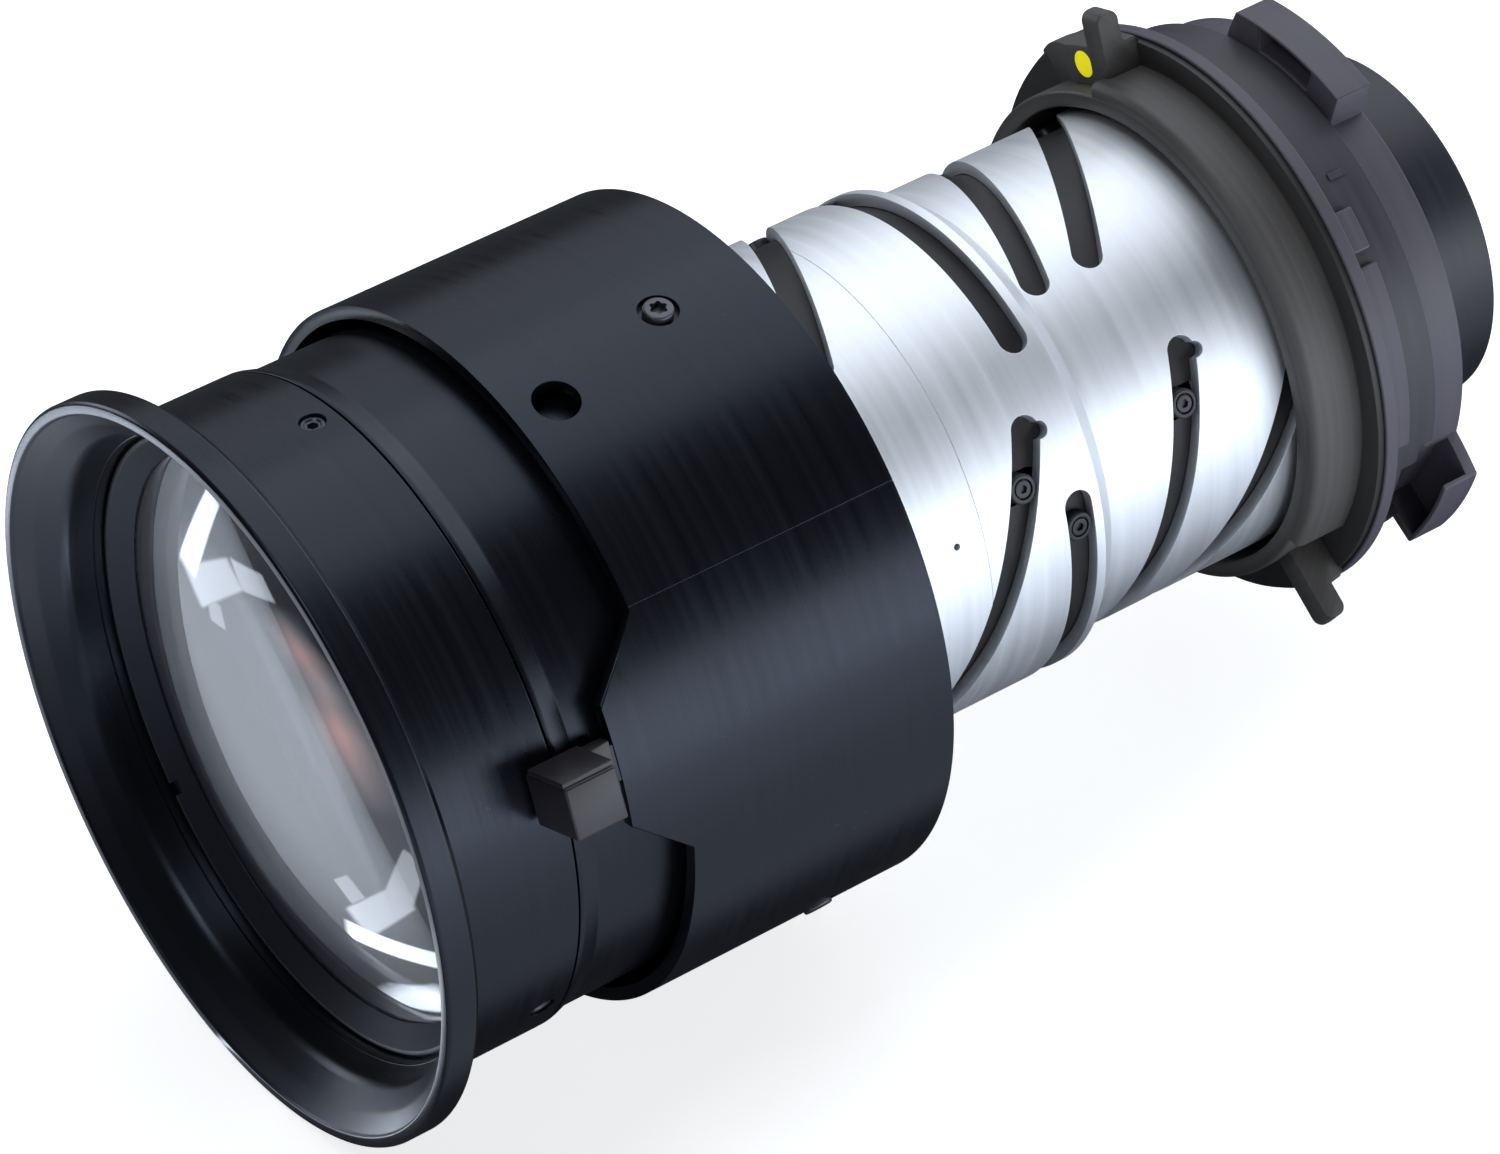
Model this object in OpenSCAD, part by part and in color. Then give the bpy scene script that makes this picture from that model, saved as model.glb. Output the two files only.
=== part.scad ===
// Zoom lens of a projector: a bayonet mount, a slotted cam barrel over a fixed guide
// barrel, three sliding lens groups, a zoom ring with its lever and a focusing front.
// The optical axis lies along Y. The hood faces -Y, the mount faces +Y, and +Z is up.
// The origin is on the axis, in the plane where the bayonet flange seats.
// Angles go round the axis from +Z towards +X.

/* [Hood] */
// Outer radius of the hood's lip
hood_lip_r = 55.5; // [54:0.1:58]
// Length of the lip along the axis
hood_lip_len = 5.5; // [4.5:0.1:7]
// Radius of the mouth at the front rim
hood_mouth_r = 53.7; // [52.5:0.1:54.2]
// Radius of the faint crease inside the funnel
hood_crease_r = 51.2; // [50:0.1:52]
// Depth of the crease behind the rim
hood_crease_depth = 2.5; // [1.5:0.1:3.5]
// Radius of the funnel where it meets the skirt
hood_waist_r = 48.4; // [48:0.1:48.5]
// Length of the skirt in front of the focus ring
hood_skirt_len = 4; // [3.5:0.1:5]
// Length of the spigot that sits in the focus ring
hood_spigot_len = 2.8; // [2.4:0.1:3]
// Radius of the throat at the rear of the hood
hood_throat_r = 46.95; // [46.8:0.05:47.1]
// Chamfer at the rear of the lip
hood_lip_chamfer = 1; // [0.5:0.1:1.5]
// Small edge break of turned parts
edge_break = 0.4; // [0.2:0.05:0.6]

/* [Focus ring] */
// Outer radius of the focus ring
focus_ring_r = 49.65; // [49.4:0.05:50]
// Length of the focus ring
focus_ring_len = 15.6; // [15:0.1:20]
// Radius of the cup that takes the hood's spigot
focus_cup_r = 48.2; // [48:0.05:48.5]
// Depth of that cup
focus_cup_depth = 6; // [5.9:0.1:6.8]
// Gap of the seam behind the ring
seam_gap = 0.3; // [0.2:0.05:0.5]
// Number of set screws
set_screw_count = 3; // [2:1:4]
// Radius of a set screw
set_screw_r = 1.9; // [1.2:0.1:2.1]
// Distance of the set screws from the ring's rear edge
set_screw_inset = 3.6; // [3:0.1:6]
// Angle of the first set screw
set_screw_angle = -6.5; // [-30:0.5:30]

/* [Fixed front tube] */
// Outer radius of the tube under the zoom ring
tube_r = 48.75; // [48.5:0.05:49]
// Length of the tube in front of the zoom ring
tube_exposed_len = 16.7; // [15:0.1:20]
// Length of the tube under the zoom ring
tube_covered_len = 19.4; // [16:0.1:22]
// Outer radius of the spigot that carries the focus thread
tube_spigot_r = 46.95; // [46.6:0.05:47]
// Length of that spigot
tube_spigot_len = 9.4; // [8.5:0.1:9.6]
// Bore of the tube
tube_bore_r = 44.6; // [44.3:0.05:44.8]
// Thickness of the rear wall
tube_wall_t = 4; // [3:0.1:5]
// Length of the front chamfer
tube_chamfer_len = 3; // [2:0.1:4]
// Land in front of the chamfer
tube_land = 0.6; // [0.4:0.1:1]

/* [Zoom ring] */
// Outer radius of the zoom ring
zoom_ring_r = 52.52; // [52.3:0.02:53]
// Length of the zoom ring
zoom_ring_len = 43.7; // [42:0.1:46]
// Inner radius of the zoom ring
zoom_bore_r = 50.5; // [50.3:0.05:50.7]
// Length of the tongue in front of the ring
tongue_len = 9.1; // [8:0.1:10]
// Angles where the tongue starts and ends at its root
tongue_root_angles = [46.5, 85.5];
// Angles where the tongue's front edge starts and ends
tongue_tip_angles = [57, 77];
// Distance of the fixing screws from the front edge
ring_screw_inset = 28.1; // [26:0.1:30]
// Number of fixing screws
ring_screw_count = 3; // [2:1:4]
// Radius of a fixing screw's head
ring_screw_head_r = 2.2; // [1.8:0.1:2.5]
// Radius of the counterbore round the head
ring_screw_bore_r = 2.95; // [2.7:0.05:3.2]
// Angle of the first fixing screw
ring_screw_angle = 6; // [-20:0.5:12]
// Radius of the plain access hole
access_hole_r = 3.4; // [2.5:0.1:4]
// Distance of the access hole from the front edge
access_hole_inset = 6.9; // [6:0.1:9]
// Angle of the access hole
access_hole_angle = 13; // [5:0.5:20]
// Angle of the fine index line
index_line_angle = 46; // [44:0.5:46.2]

/* [Zoom lever] */
// Width and length of the square lever
lever_w = 8.1; // [7:0.1:9]
// Height of the lever above its foot
lever_h = 10.2; // [8:0.1:12]
// Angle of the lever
lever_angle = 66; // [64:0.5:68]
// Gap between the lever and the tongue
lever_gap = 4.6; // [4:0.1:5.4]
// Width of the ring's neck inside the lever
lever_neck_w = 5.4; // [4:0.1:6]

/* [Cam barrel] */
// Length of the silver barrel between the zoom ring and the mount's seat
cam_visible_len = 86.4; // [85.5:0.1:90]
// Outer radius of the front stretch
cam_front_r = 37.15; // [37:0.05:37.6]
// Outer radius of the rear stretch
cam_rear_r = 34.63; // [34.5:0.01:34.9]
// Wall of the barrel
cam_wall = 1.95; // [1.8:0.05:2.1]
// Distance from the seat to the rear stretch
cam_step_y = 44.7; // [44:0.1:45.5]
// Length of the cone between the two stretches
cam_cone_len = 3; // [2:0.1:3.4]
// Width of every slot
slot_w = 4.6; // [4.5:0.02:5]
// Thickness of the hub that carries the zoom ring
hub_t = 3.5; // [3:0.1:5]
// Length of the hub's rim
hub_rim_len = 10; // [9:0.1:12]

/* [Zoom cam] */
// Full turn of the cam towards telephoto, in degrees
turn_tele = 72; // [60:1:72]
// Full turn of the cam towards wide, in degrees
turn_wide = 5; // [0:1:5]
// Angle of the followers at rest
follower_angle = 62; // [60:0.5:64]
// Angle of the rollers that hold the cam barrel axially
keeper_angle = 76.5; // [76:0.5:78]
// Distance from the seat to the axial keepers
keeper_y = 51.5; // [51:0.1:52]
// Distances from the seat to the three groups' followers at rest
follower_y = [59.3, 28.7, 7.6];
// Travel of the three groups for each degree of turn
cam_lead = [0.266, 0.170, 0.318];
// Angles on the barrel where the three cam slots start
slot_start = [50.4, 50, 56];
// Angles on the barrel where the three cam slots end
slot_end = [138, 140, 139.5];
// Angles where the circumferential slots start and end
keeper_slot = [71, 151];

/* [Followers] */
// Radius of a roller
roller_r = 2.2; // [2:0.02:2.2]
// Distance of a roller's top below the barrel's surface
roller_sink = 0.4; // [0.2:0.05:0.8]
// Radius of a roller screw's head
roller_head_r = 1.3; // [1:0.05:1.45]
// Thickness of a roller screw's head
roller_head_t = 0.8; // [0.5:0.05:1]
// Radius of a roller screw's shank
roller_shank_r = 0.8; // [0.6:0.05:0.9]
// Depth of a roller screw in the cell
roller_screw_depth = 3; // [2:0.1:3.2]
// Running clearance of turned fits
fit = 0.1; // [0.05:0.01:0.1]
// Clearance of a roller in its straight guide slot
guide_play = 0.05; // [0.02:0.01:0.08]

/* [Guide barrel] */
// Wall of the front stretch
guide_front_wall = 2.6; // [2.4:0.1:2.8]
// Wall of the rear stretch
guide_rear_wall = 2.4; // [2.2:0.1:2.6]
// Thickness of the front flange
guide_flange_t = 3; // [2.5:0.1:4]
// Outer radius of the front flange
guide_flange_r = 43; // [42:0.5:44]
// Thickness of the rear flange
guide_foot_t = 2.5; // [2:0.1:3]

/* [Lens groups] */
// Lengths of the three cells
cell_len = [16, 9, 9];
// Radii of the three groups' elements
group_lens_r = [27.5, 25, 25];
// Edge thicknesses of the three groups' elements
group_lens_edge = [6, 3.5, 4];
// Thickness of a retaining ring
retainer_t = 1.6; // [1.5:0.1:2]
// Width of a retaining ring's seat on the glass
retainer_seat = 1.8; // [1.2:0.1:2]

/* [Front group] */
// Outer radius of the front cell
front_cell_r = 44.5; // [44.2:0.05:44.6]
// Length of the front cell behind its flange
front_cell_len = 30.8; // [29.5:0.1:32]
// Thickness of the front cell's flange
front_flange_t = 2.6; // [2.4:0.05:2.7]
// Radius of the front element
front_glass_r = 43.4; // [43:0.05:43.6]
// Edge thickness of the front element
front_glass_edge = 4; // [3.5:0.1:5]
// Radius of curvature of the front element's front
front_glass_curve = 130; // [120:1:180]
// Radius of curvature of the front element's rear
front_glass_back = 260; // [220:5:320]
// Radius of the second element
second_glass_r = 38.2; // [37:0.1:39]
// Radius of the third element
third_glass_r = 34; // [33:0.1:35]
// Outer radius of the front retaining ring
front_retainer_r = 46.56; // [46.4:0.02:46.7]
// Distance that the front retaining ring stands in front of the flange
front_retainer_proud = 1.66; // [1.4:0.02:1.9]
// Angle of the spanner notches in the front retaining ring
spanner_angle = -135.4; // [-180:0.1:0]

/* [Mount] */
// Radius of the bayonet flange
flange_r = 44.4; // [44.2:0.05:45]
// Thickness of the bayonet flange
flange_t = 2.2; // [2:0.1:3.5]
// Radius of the bayonet body behind the flange
bayonet_r = 40.6; // [40.4:0.05:41]
// Length of the bayonet body
bayonet_len = 10.2; // [9.5:0.1:11]
// Radius of the rear stretch that carries the lugs
lug_base_r = 39; // [38.6:0.1:39.4]
// Length of that rear stretch
lug_len = 6.6; // [6:0.1:7.5]
// Radius of the lugs
lug_r = 45; // [44:0.1:46]
// Angles where the three lugs start
lug_start = [-16, 98.5, 224];
// Angles that the lugs span
lug_span = [36, 27, 36];

/* [Collar] */
// Bore of the collar
collar_bore_r = 36; // [35.5:0.1:36.3]
// Outer radius of the collar's lip
collar_lip_r = 38.5; // [38.2:0.1:38.8]
// Outer radius of the raised arc
collar_arc_r = 40.3; // [40:0.1:40.6]
// Height of the lip in front of the plate
collar_lip_h = 8.8; // [8:0.1:9.6]
// Radius of the plate
collar_plate_r = 43.8; // [43.5:0.1:44]
// Thickness of the plate
collar_plate_t = 1.8; // [1.5:0.1:2.2]
// Angles where the raised arc starts and ends
collar_arc_angles = [-20, 111.5];
// Thickness of a stop tab
tab_t = 4.2; // [3:0.1:4.5]
// Radius that a stop tab reaches
tab_r = 50; // [48:0.1:51]
// Height of a stop tab in front of the plate
tab_h = 6; // [5:0.1:7]
// Angles of the two stop tabs
tab_angles = [-21.3, 124.4];
// Height of the pad that carries the index dot
dot_pad_h = 5.9; // [5:0.1:5.9]
// Angle of the index dot
dot_angle = -26.5; // [-27:0.5:-26]
// Radius of the index dot
dot_r = 2.05; // [1.5:0.05:2.1]

/* [Rear barrel] */
// Radius of the rear barrel
rear_barrel_r = 27.6; // [27:0.1:28.5]
// Length of the rear barrel behind the bayonet ring
rear_barrel_len = 16; // [14:0.1:20]
// Radius of the rear barrel's flange
rear_flange_r = 36.1; // [35.5:0.1:36.4]
// Radius of the rear element
rear_glass_r = 24; // [22:0.1:24.4]
// Number of screws in the rear flange
rear_screw_count = 4; // [3:1:6]

/* [Hidden] */
$fn = 180;

// Overrun of every cut
over = 0.5;
// Full turn, in degrees
turn = 360;

// Colours
c_black = [0.07, 0.07, 0.09];
c_black_soft = [0.11, 0.11, 0.13];
c_silver = [0.78, 0.80, 0.84];
c_collar = [0.27, 0.26, 0.25];
c_bayonet = [0.34, 0.34, 0.39];
c_yellow = [0.92, 0.88, 0.05];
c_glass = [0.62, 0.72, 0.82, 0.45];
c_screw = [0.20, 0.20, 0.22];
c_roller = [0.16, 0.16, 0.18];

// Height of the front retaining ring
front_retainer_t = 3.1;

// Stations along the axis, from the seat towards the hood
zoom_rear_y = -cam_visible_len;
zoom_front_y = zoom_rear_y - zoom_ring_len;
tube_front_y = zoom_front_y - tube_exposed_len;
tube_rear_y = zoom_front_y + tube_covered_len;
focus_rear_y = tube_front_y - seam_gap;
focus_front_y = focus_rear_y - focus_ring_len;
hood_step_y = focus_front_y - hood_skirt_len;
rim_y = hood_step_y - hood_lip_len;
spigot_rear_y = focus_front_y + hood_spigot_len;
cup_floor_y = focus_front_y + focus_cup_depth;
front_flange_y = spigot_rear_y + seam_gap;
front_seat_y = front_flange_y + front_flange_t;
front_glass_y = front_flange_y + front_retainer_t - front_retainer_proud;
ring_screw_y = zoom_front_y + ring_screw_inset;
lever_rear_y = zoom_front_y - tongue_len - lever_gap;
lever_front_y = lever_rear_y - lever_w;

// Hood
hood_rim_r = hood_lip_r - edge_break;
hood_throat_len = 1.6;

// Focus ring
focus_bore_r = tube_spigot_r + fit;
set_screw_sink = edge_break;
set_screw_tip_r = focus_bore_r + seam_gap;
set_socket_share = 0.5;

// Front group
retainer_lip_w = 0.7;
front_flange_r = focus_cup_r - seam_gap;
front_cell_end_y = front_seat_y + front_cell_len;
spacer_len = 6.5;
air_gap = 0.6;
second_seat_y = front_glass_y + front_glass_edge + spacer_len;
second_retainer_t = 2.5;
second_glass_edge = 4;
second_step_y = second_seat_y + second_retainer_t + second_glass_edge;
second_glass_curve = 100;
second_glass_back = 60;
second_hollow_r = 30;
third_glass_edge = 4;
third_glass_curve = 70;
third_glass_back = 200;
third_step_y = second_step_y + sag(third_glass_curve, third_glass_r) + air_gap;
third_throat_r = third_glass_r - 1;
third_seat_slope = sag(third_glass_curve, third_glass_r) - sag(third_glass_curve, third_throat_r) + edge_break / 4;
front_seat_r = front_glass_r - edge_break;
front_seat_slope = sag(front_glass_curve, front_glass_r) - sag(front_glass_curve, front_seat_r) + edge_break / 8;
key_r = 1.5;
key_reach_r = front_cell_r + 1.4;
key_depth = 2.4;
key_y = front_seat_y + 12;
key_run = 5;

// Zoom ring
tongue_share = 0.5;
tongue_spare = 3;
tongue_set = 0.05;
tongue_root = 0.8;
index_line_w = 0.35;
index_line_depth = 0.2;
ring_screw_counterbore = 1;
ring_screw_proud = 0.5;
ring_screw_shank_r = 1.4;
lever_foot_r = zoom_bore_r;
lever_top_r = lever_foot_r + lever_h;
lever_neck_top_r = zoom_ring_r - edge_break / 2;
lever_neck_foot_r = zoom_bore_r + edge_break / 2;
lever_neck_reach = 6.6;
lever_screw_r = 1;
lever_screw_head_r = 1.8;
lever_screw_head_t = 0.9;
lever_screw_len = 5;
lever_plate_t = 0.9;
lever_plate_proud = 0.35;

// Cam barrel
cam_front_bore_r = cam_front_r - cam_wall;
cam_rear_bore_r = cam_rear_r - cam_wall;
cam_rear_y = -cam_step_y;
cam_cone_y = cam_rear_y - cam_cone_len;
cam_bore_step_y = cam_cone_y + edge_break;
cam_end_y = -0.8;
hub_r = zoom_bore_r - edge_break / 4;
hub_rim_t = 3.5;
hub_y = ring_screw_y - hub_rim_len * 0.4;
cam_start_y = hub_y - edge_break * 2;
notch_r = 1.3;
notch_back = slot_w * 0.46;
notch_turn = 1;
scribe_y = -67.7;
scribe_w = 0.25;
scribe_depth = 0.12;
pin_hole_r = 0.5;
pin_hole_y = -72.2;
pin_hole_angle = 67;
slot_step = 4;
slot_end_steps = 5;

// Guide barrel
guide_front_r = cam_front_bore_r - fit;
guide_rear_r = cam_rear_bore_r - fit;
guide_front_bore_r = guide_front_r - guide_front_wall;
guide_rear_bore_r = guide_rear_r - guide_rear_wall;
guide_step_y = cam_bore_step_y - seam_gap;
guide_shoulder_t = 1.6;
guide_front_y = tube_rear_y;
guide_end_y = cam_end_y + 0.6;
guide_foot_y = guide_end_y + guide_foot_t;
guide_foot_r = 38.2;
guide_slot_margin = 0.6;
flange_screw_r = 1.2;
flange_screw_head_r = 2.2;
flange_screw_head_t = 1.4;
flange_screw_circle = (guide_flange_r + cam_front_r) / 2;

// Followers and cells
roller_count = 3;
follower_seat_r = [guide_front_bore_r - fit, guide_rear_bore_r - fit, guide_rear_bore_r - fit];
follower_top_r = [cam_front_r - roller_sink, cam_rear_r - roller_sink, cam_rear_r - roller_sink];
lens_front_share = [0.2, 0.28, 0.22];
group_front_curve = [50, -70, -60];
group_back_curve = [120, 55, 45];

// Mount
collar_proud = 1.1;
flange_recess = collar_plate_t - collar_proud;
collar_front_y = -flange_t - collar_proud;
collar_back_y = collar_front_y + collar_plate_t;
web_t = 4;
web_y = guide_foot_y;
web_back_y = web_y + web_t;
web_bore_r = guide_rear_bore_r - edge_break;
bayonet_back_y = bayonet_len;
bayonet_end_y = bayonet_back_y + lug_len;
lug_count = len(lug_start);
lug_wall = 0.6;
lug_set = 0.15;
lug_spare = 4;
lug_root_r = lug_base_r - 1.2;
lug_pocket_start = 12;
lug_pocket_span = 15;
lug_pocket_depth = 4.5;
lug_pocket_r = bayonet_r + edge_break / 2;
lug_slope = 32;
rib_starts = [37.5, 49.5];
rib_spans = [9, 41];
rib_r = bayonet_r + 1;
rib_len = 4.6;
key_recess_start = 99;
key_recess_span = 23;
key_recess_r = 37.5;
key_recess_y = 4.8;
key_notch_start = 94.5;
key_notch_r = 39.3;
key_notch_y = 7.6;
collar_screw_r = 0.7;
collar_screw_shank_r = 0.45;
collar_screw_len = 3;
collar_screw_circle = (collar_arc_r + collar_plate_r) / 2;
collar_screw_pitch = 45;
collar_screw_start = -2.5;
collar_screw_count = 7;
collar_round = 1.2;
dot_pad_angles = [-60, -21];
dot_pad_flat = -31.5;
dot_pad_slope = 22;
tab_round = 1.3;
tab_top_share = 0.62;
dot_pad_r = collar_plate_r + 2 * edge_break;
dot_t = 0.3;
dot_proud = 0.1;
dot_centre_r = collar_lip_r + dot_r + 3 * edge_break;

// Rear barrel
rear_end_y = bayonet_end_y + rear_barrel_len;
rear_flange_y = bayonet_end_y - 0.6;
rear_throat_r = rear_glass_r - 2.5;
rear_seat_y = rear_end_y - 9;
rear_glass_edge = 4;
rear_glass_curve = 60;
rear_glass_back = 90;
rear_seat_slope = sag(rear_glass_curve, rear_glass_r) - sag(rear_glass_curve, rear_throat_r) + edge_break / 4;
rear_screw_circle = (rear_flange_r + rear_barrel_r) / 2;
rear_screw_head_r = 2.2;
rear_screw_r = 1.2;
rear_screw_head_t = 1.4;
rear_screw_depth = 3;

// A body of revolution about the optical axis, from points [radius, station]
module lathe(points) {
    rotate([-90, 0, 0]) rotate_extrude() polygon(points);
}

// A tube along the axis
module tube(outer, inner, from, to) {
    lathe([[inner, from], [outer, from], [outer, to], [inner, to]]);
}

// A sector of a body of revolution, from one angle over a span
module sector(points, start, span) {
    rotate([0, start - 90, 0]) rotate([-90, 0, 0]) rotate_extrude(angle = span) polygon(points);
}

// Children placed round the axis at an angle, with +Z pointing outwards
module at_angle(a) {
    rotate([0, a, 0]) children();
}

// Children repeated evenly round the axis
module around(count, start) {
    for (i = [0 : count - 1]) at_angle(start + i * turn / count) children();
}

// A round bar along a radius
module radial_bar(r, y, inner, outer) {
    translate([0, y, inner]) cylinder(r = r, h = outer - inner);
}

// A countersunk or cheese head screw along the axis, with its head towards -Y
module axial_screw(x_r, y, head_r, head_t, shank_r, length) {
    translate([0, y, x_r]) rotate([-90, 0, 0]) {
        difference() {
            cylinder(r = head_r, h = head_t);
            translate([0, 0, -over]) cylinder(r = head_r * set_socket_share, h = over + head_t / 2, $fn = 6);
        }
        translate([0, 0, head_t]) cylinder(r = shank_r, h = length - head_t);
    }
}

// The depth of a spherical surface at a radius
function sag(curve, r) = curve - sqrt(curve * curve - r * r);

// A lens element: its edge lies from y0 to y1, and each face bulges outwards by a positive curve
module element(r, y0, y1, front, back) {
    front_bulge = front > 0 ? sag(front, r) : 0;
    back_bulge = back > 0 ? sag(back, r) : 0;
    rotate([-90, 0, 0]) difference() {
        intersection() {
            translate([0, 0, y0 - front_bulge]) cylinder(r = r, h = y1 - y0 + front_bulge + back_bulge);
            if (front > 0) translate([0, 0, y0 - front_bulge + front]) sphere(r = front);
            if (back > 0) translate([0, 0, y1 + back_bulge - back]) sphere(r = back);
        }
        if (front < 0) translate([0, 0, y0 + sag(-front, r) + front]) sphere(r = -front);
        if (back < 0) translate([0, 0, y1 - sag(-back, r) - back]) sphere(r = -back);
    }
}

// The cam slot's centre line, in millimetres along the axis, at an angle on the barrel
function cam_line(g, a) = -follower_y[g] - cam_lead[g] * (a - follower_angle);

// Half width of a rounded slot at a distance along it: a straight middle with round ends
function slot_edge(u, u0, u1, k, rho, side) =
    let (tilt = atan(k),
         t = min(u1, max(u0, u + side * rho * sin(tilt))),
         d = min(rho, abs(u - t)))
    k * t + side * sqrt(max(0, rho * rho - d * d));

// Angles at which a slot's outline is cut, closer together at its round ends
function slot_stations(a0, a1, reach) =
    let (n = ceil((a1 - a0) / slot_step))
    concat(
        [for (i = [0 : slot_end_steps - 1]) a0 - reach * cos(90 * (i + 0.12) / slot_end_steps)],
        [for (i = [0 : n]) a0 + (a1 - a0) * i / n],
        [for (i = [slot_end_steps - 1 : -1 : 0]) a1 + reach * cos(90 * (i + 0.12) / slot_end_steps)]);

// A cutter for a slot that runs round a barrel from angle a0 to a1, with a lead per degree
module slot_cutter(a0, a1, y0, lead, inner, outer) {
    mean = (inner + outer) / 2;
    per_degree = mean * PI / 180;
    k = -lead / per_degree;
    rho = slot_w / 2;
    stations = slot_stations(a0, a1, rho / per_degree);
    low = inner - over;
    high = outer + over;
    points = [for (a = stations) let (
            u = (a - a0) * per_degree,
            u1 = (a1 - a0) * per_degree,
            near = y0 + slot_edge(u, 0, u1, k, rho, -1),
            far = y0 + slot_edge(u, 0, u1, k, rho, 1))
        for (q = [[low, near], [high, near], [high, far], [low, far]])
            [q[0] * sin(a), q[1], q[0] * cos(a)]];
    last = len(stations) - 1;
    sides = [for (i = [0 : last - 1]) for (j = [0 : 3]) for (f = [0, 1])
        let (p = 4 * i + j, q = 4 * i + (j + 1) % 4)
        f == 0 ? [p, q + 4, p + 4] : [p, q, q + 4]];
    end = 4 * last;
    caps = [[2, 1, 0], [3, 2, 0], [end, end + 1, end + 2], [end, end + 2, end + 3]];
    polyhedron(points = points, faces = concat(sides, caps));
}

// The bayonet ring: its flange, its body and three lugs
module bayonet_ring() {
    recess_y = -flange_t + flange_recess;
    color(c_bayonet) difference() {
        union() {
            lathe([
                [guide_foot_r, recess_y],
                [collar_plate_r + edge_break / 4, recess_y],
                [collar_plate_r + edge_break / 4, -flange_t],
                [flange_r, -flange_t],
                [flange_r, 0],
                [bayonet_r, 0],
                [bayonet_r, bayonet_back_y],
                [lug_base_r, bayonet_back_y],
                [lug_base_r, bayonet_end_y],
                [rear_flange_r, bayonet_end_y],
                [rear_flange_r, web_back_y],
                [web_bore_r, web_back_y],
                [web_bore_r, web_y],
                [guide_foot_r, web_y]]);
            for (i = [0 : lug_count - 1]) lug(lug_start[i], lug_span[i]);
            around(lug_count, 0) for (i = [0, 1])
                sector([
                    [bayonet_r - 1, -over],
                    [rib_r, -over],
                    [rib_r, rib_len],
                    [bayonet_r - 1, rib_len]], rib_starts[i], rib_spans[i]);
        }
        for (i = [0, 2])
            sector([
                [lug_pocket_r, bayonet_back_y - over],
                [lug_r - lug_wall, bayonet_back_y - over],
                [lug_r - lug_wall, bayonet_back_y + lug_pocket_depth],
                [lug_pocket_r, bayonet_back_y + lug_pocket_depth]], lug_start[i] + lug_pocket_start, lug_pocket_span);
        sector([
            [key_recess_r, key_recess_y],
            [lug_r - lug_wall, key_recess_y],
            [lug_r - lug_wall, bayonet_back_y + lug_pocket_depth],
            [key_recess_r, bayonet_back_y + lug_pocket_depth]], key_recess_start, key_recess_span);
        sector([
            [key_notch_r, key_notch_y],
            [bayonet_r + over, key_notch_y],
            [bayonet_r + over, bayonet_back_y + over],
            [key_notch_r, bayonet_back_y + over]], key_notch_start, key_recess_start - key_notch_start + 1);
        collar_screw_places() rotate([-90, 0, 0]) cylinder(r = collar_screw_shank_r, h = collar_screw_len);
        around(rear_screw_count, turn / rear_screw_count / 2)
            translate([0, web_back_y - rear_screw_depth, rear_screw_circle]) rotate([-90, 0, 0])
                cylinder(r = rear_screw_r, h = rear_screw_depth + over);
    }
}

// One bayonet lug: a curved block with one sloping end
module lug(start, span) {
    difference() {
        sector([
            [lug_root_r, bayonet_back_y + lug_set],
            [lug_r, bayonet_back_y + lug_set],
            [lug_r, bayonet_end_y - edge_break - lug_set],
            [lug_r - edge_break, bayonet_end_y - lug_set],
            [lug_root_r, bayonet_end_y - lug_set]], start - lug_spare, span + lug_spare);
        at_angle(start) translate([0, bayonet_back_y - over, lug_base_r]) rotate([0, lug_slope, 0])
            translate([-lug_r, 0, -lug_spare]) cube([lug_r, lug_len + 2 * over, lug_r]);
    }
}

// Places of the small screws in the collar's plate
module collar_screw_places() {
    for (i = [0 : collar_screw_count - 1])
        at_angle(collar_screw_start + i * collar_screw_pitch)
            translate([0, collar_front_y, collar_screw_circle]) children();
}

// The collar round the cam barrel: lip, plate, raised arc, dot pad and stop tabs
module mount_collar() {
    lip_y = collar_front_y - collar_lip_h;
    pad_y = collar_front_y - dot_pad_h;
    color(c_collar) difference() {
        union() {
            lathe([
                [collar_bore_r, lip_y + edge_break],
                [collar_bore_r + edge_break, lip_y],
                [collar_lip_r - edge_break, lip_y],
                [collar_lip_r, lip_y + edge_break],
                [collar_lip_r, collar_front_y],
                [collar_plate_r, collar_front_y],
                [collar_plate_r, collar_back_y],
                [collar_bore_r, collar_back_y]]);
            sector([
                [collar_lip_r - edge_break, lip_y + edge_break / 4],
                [collar_lip_r, lip_y + edge_break / 4],
                for (i = [0 : 6]) let (a = 90 * i / 6) [
                    collar_arc_r - collar_round + collar_round * sin(a),
                    lip_y + collar_round + edge_break - collar_round * cos(a)],
                [collar_arc_r, collar_front_y + edge_break],
                [collar_lip_r - edge_break, collar_front_y + edge_break]],
                collar_arc_angles[0], collar_arc_angles[1] - collar_arc_angles[0]);
            difference() {
                sector([
                    [collar_lip_r - edge_break, pad_y],
                    [dot_pad_r - edge_break, pad_y],
                    [dot_pad_r, pad_y + edge_break],
                    [dot_pad_r, collar_front_y + edge_break],
                    [collar_lip_r - edge_break, collar_front_y + edge_break]],
                    dot_pad_angles[0], dot_pad_angles[1] - dot_pad_angles[0]);
                at_angle(dot_pad_flat) translate([0, pad_y, 0]) rotate([0, 0, -dot_pad_slope])
                    translate([-lug_r, -lug_r, 0]) cube([lug_r, lug_r, lug_r + tab_r]);
            }
            for (a = tab_angles) at_angle(a) stop_tab();
        }
        at_angle(dot_angle) translate([0, pad_y - over, dot_centre_r]) rotate([-90, 0, 0])
            cylinder(r = dot_r, h = over + dot_t - dot_proud);
        collar_screw_places() rotate([-90, 0, 0]) {
            translate([0, 0, -over]) cylinder(r = collar_screw_r, h = over + collar_plate_t / 2);
            cylinder(r = collar_screw_shank_r, h = collar_screw_len);
        }
    }
}

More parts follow.
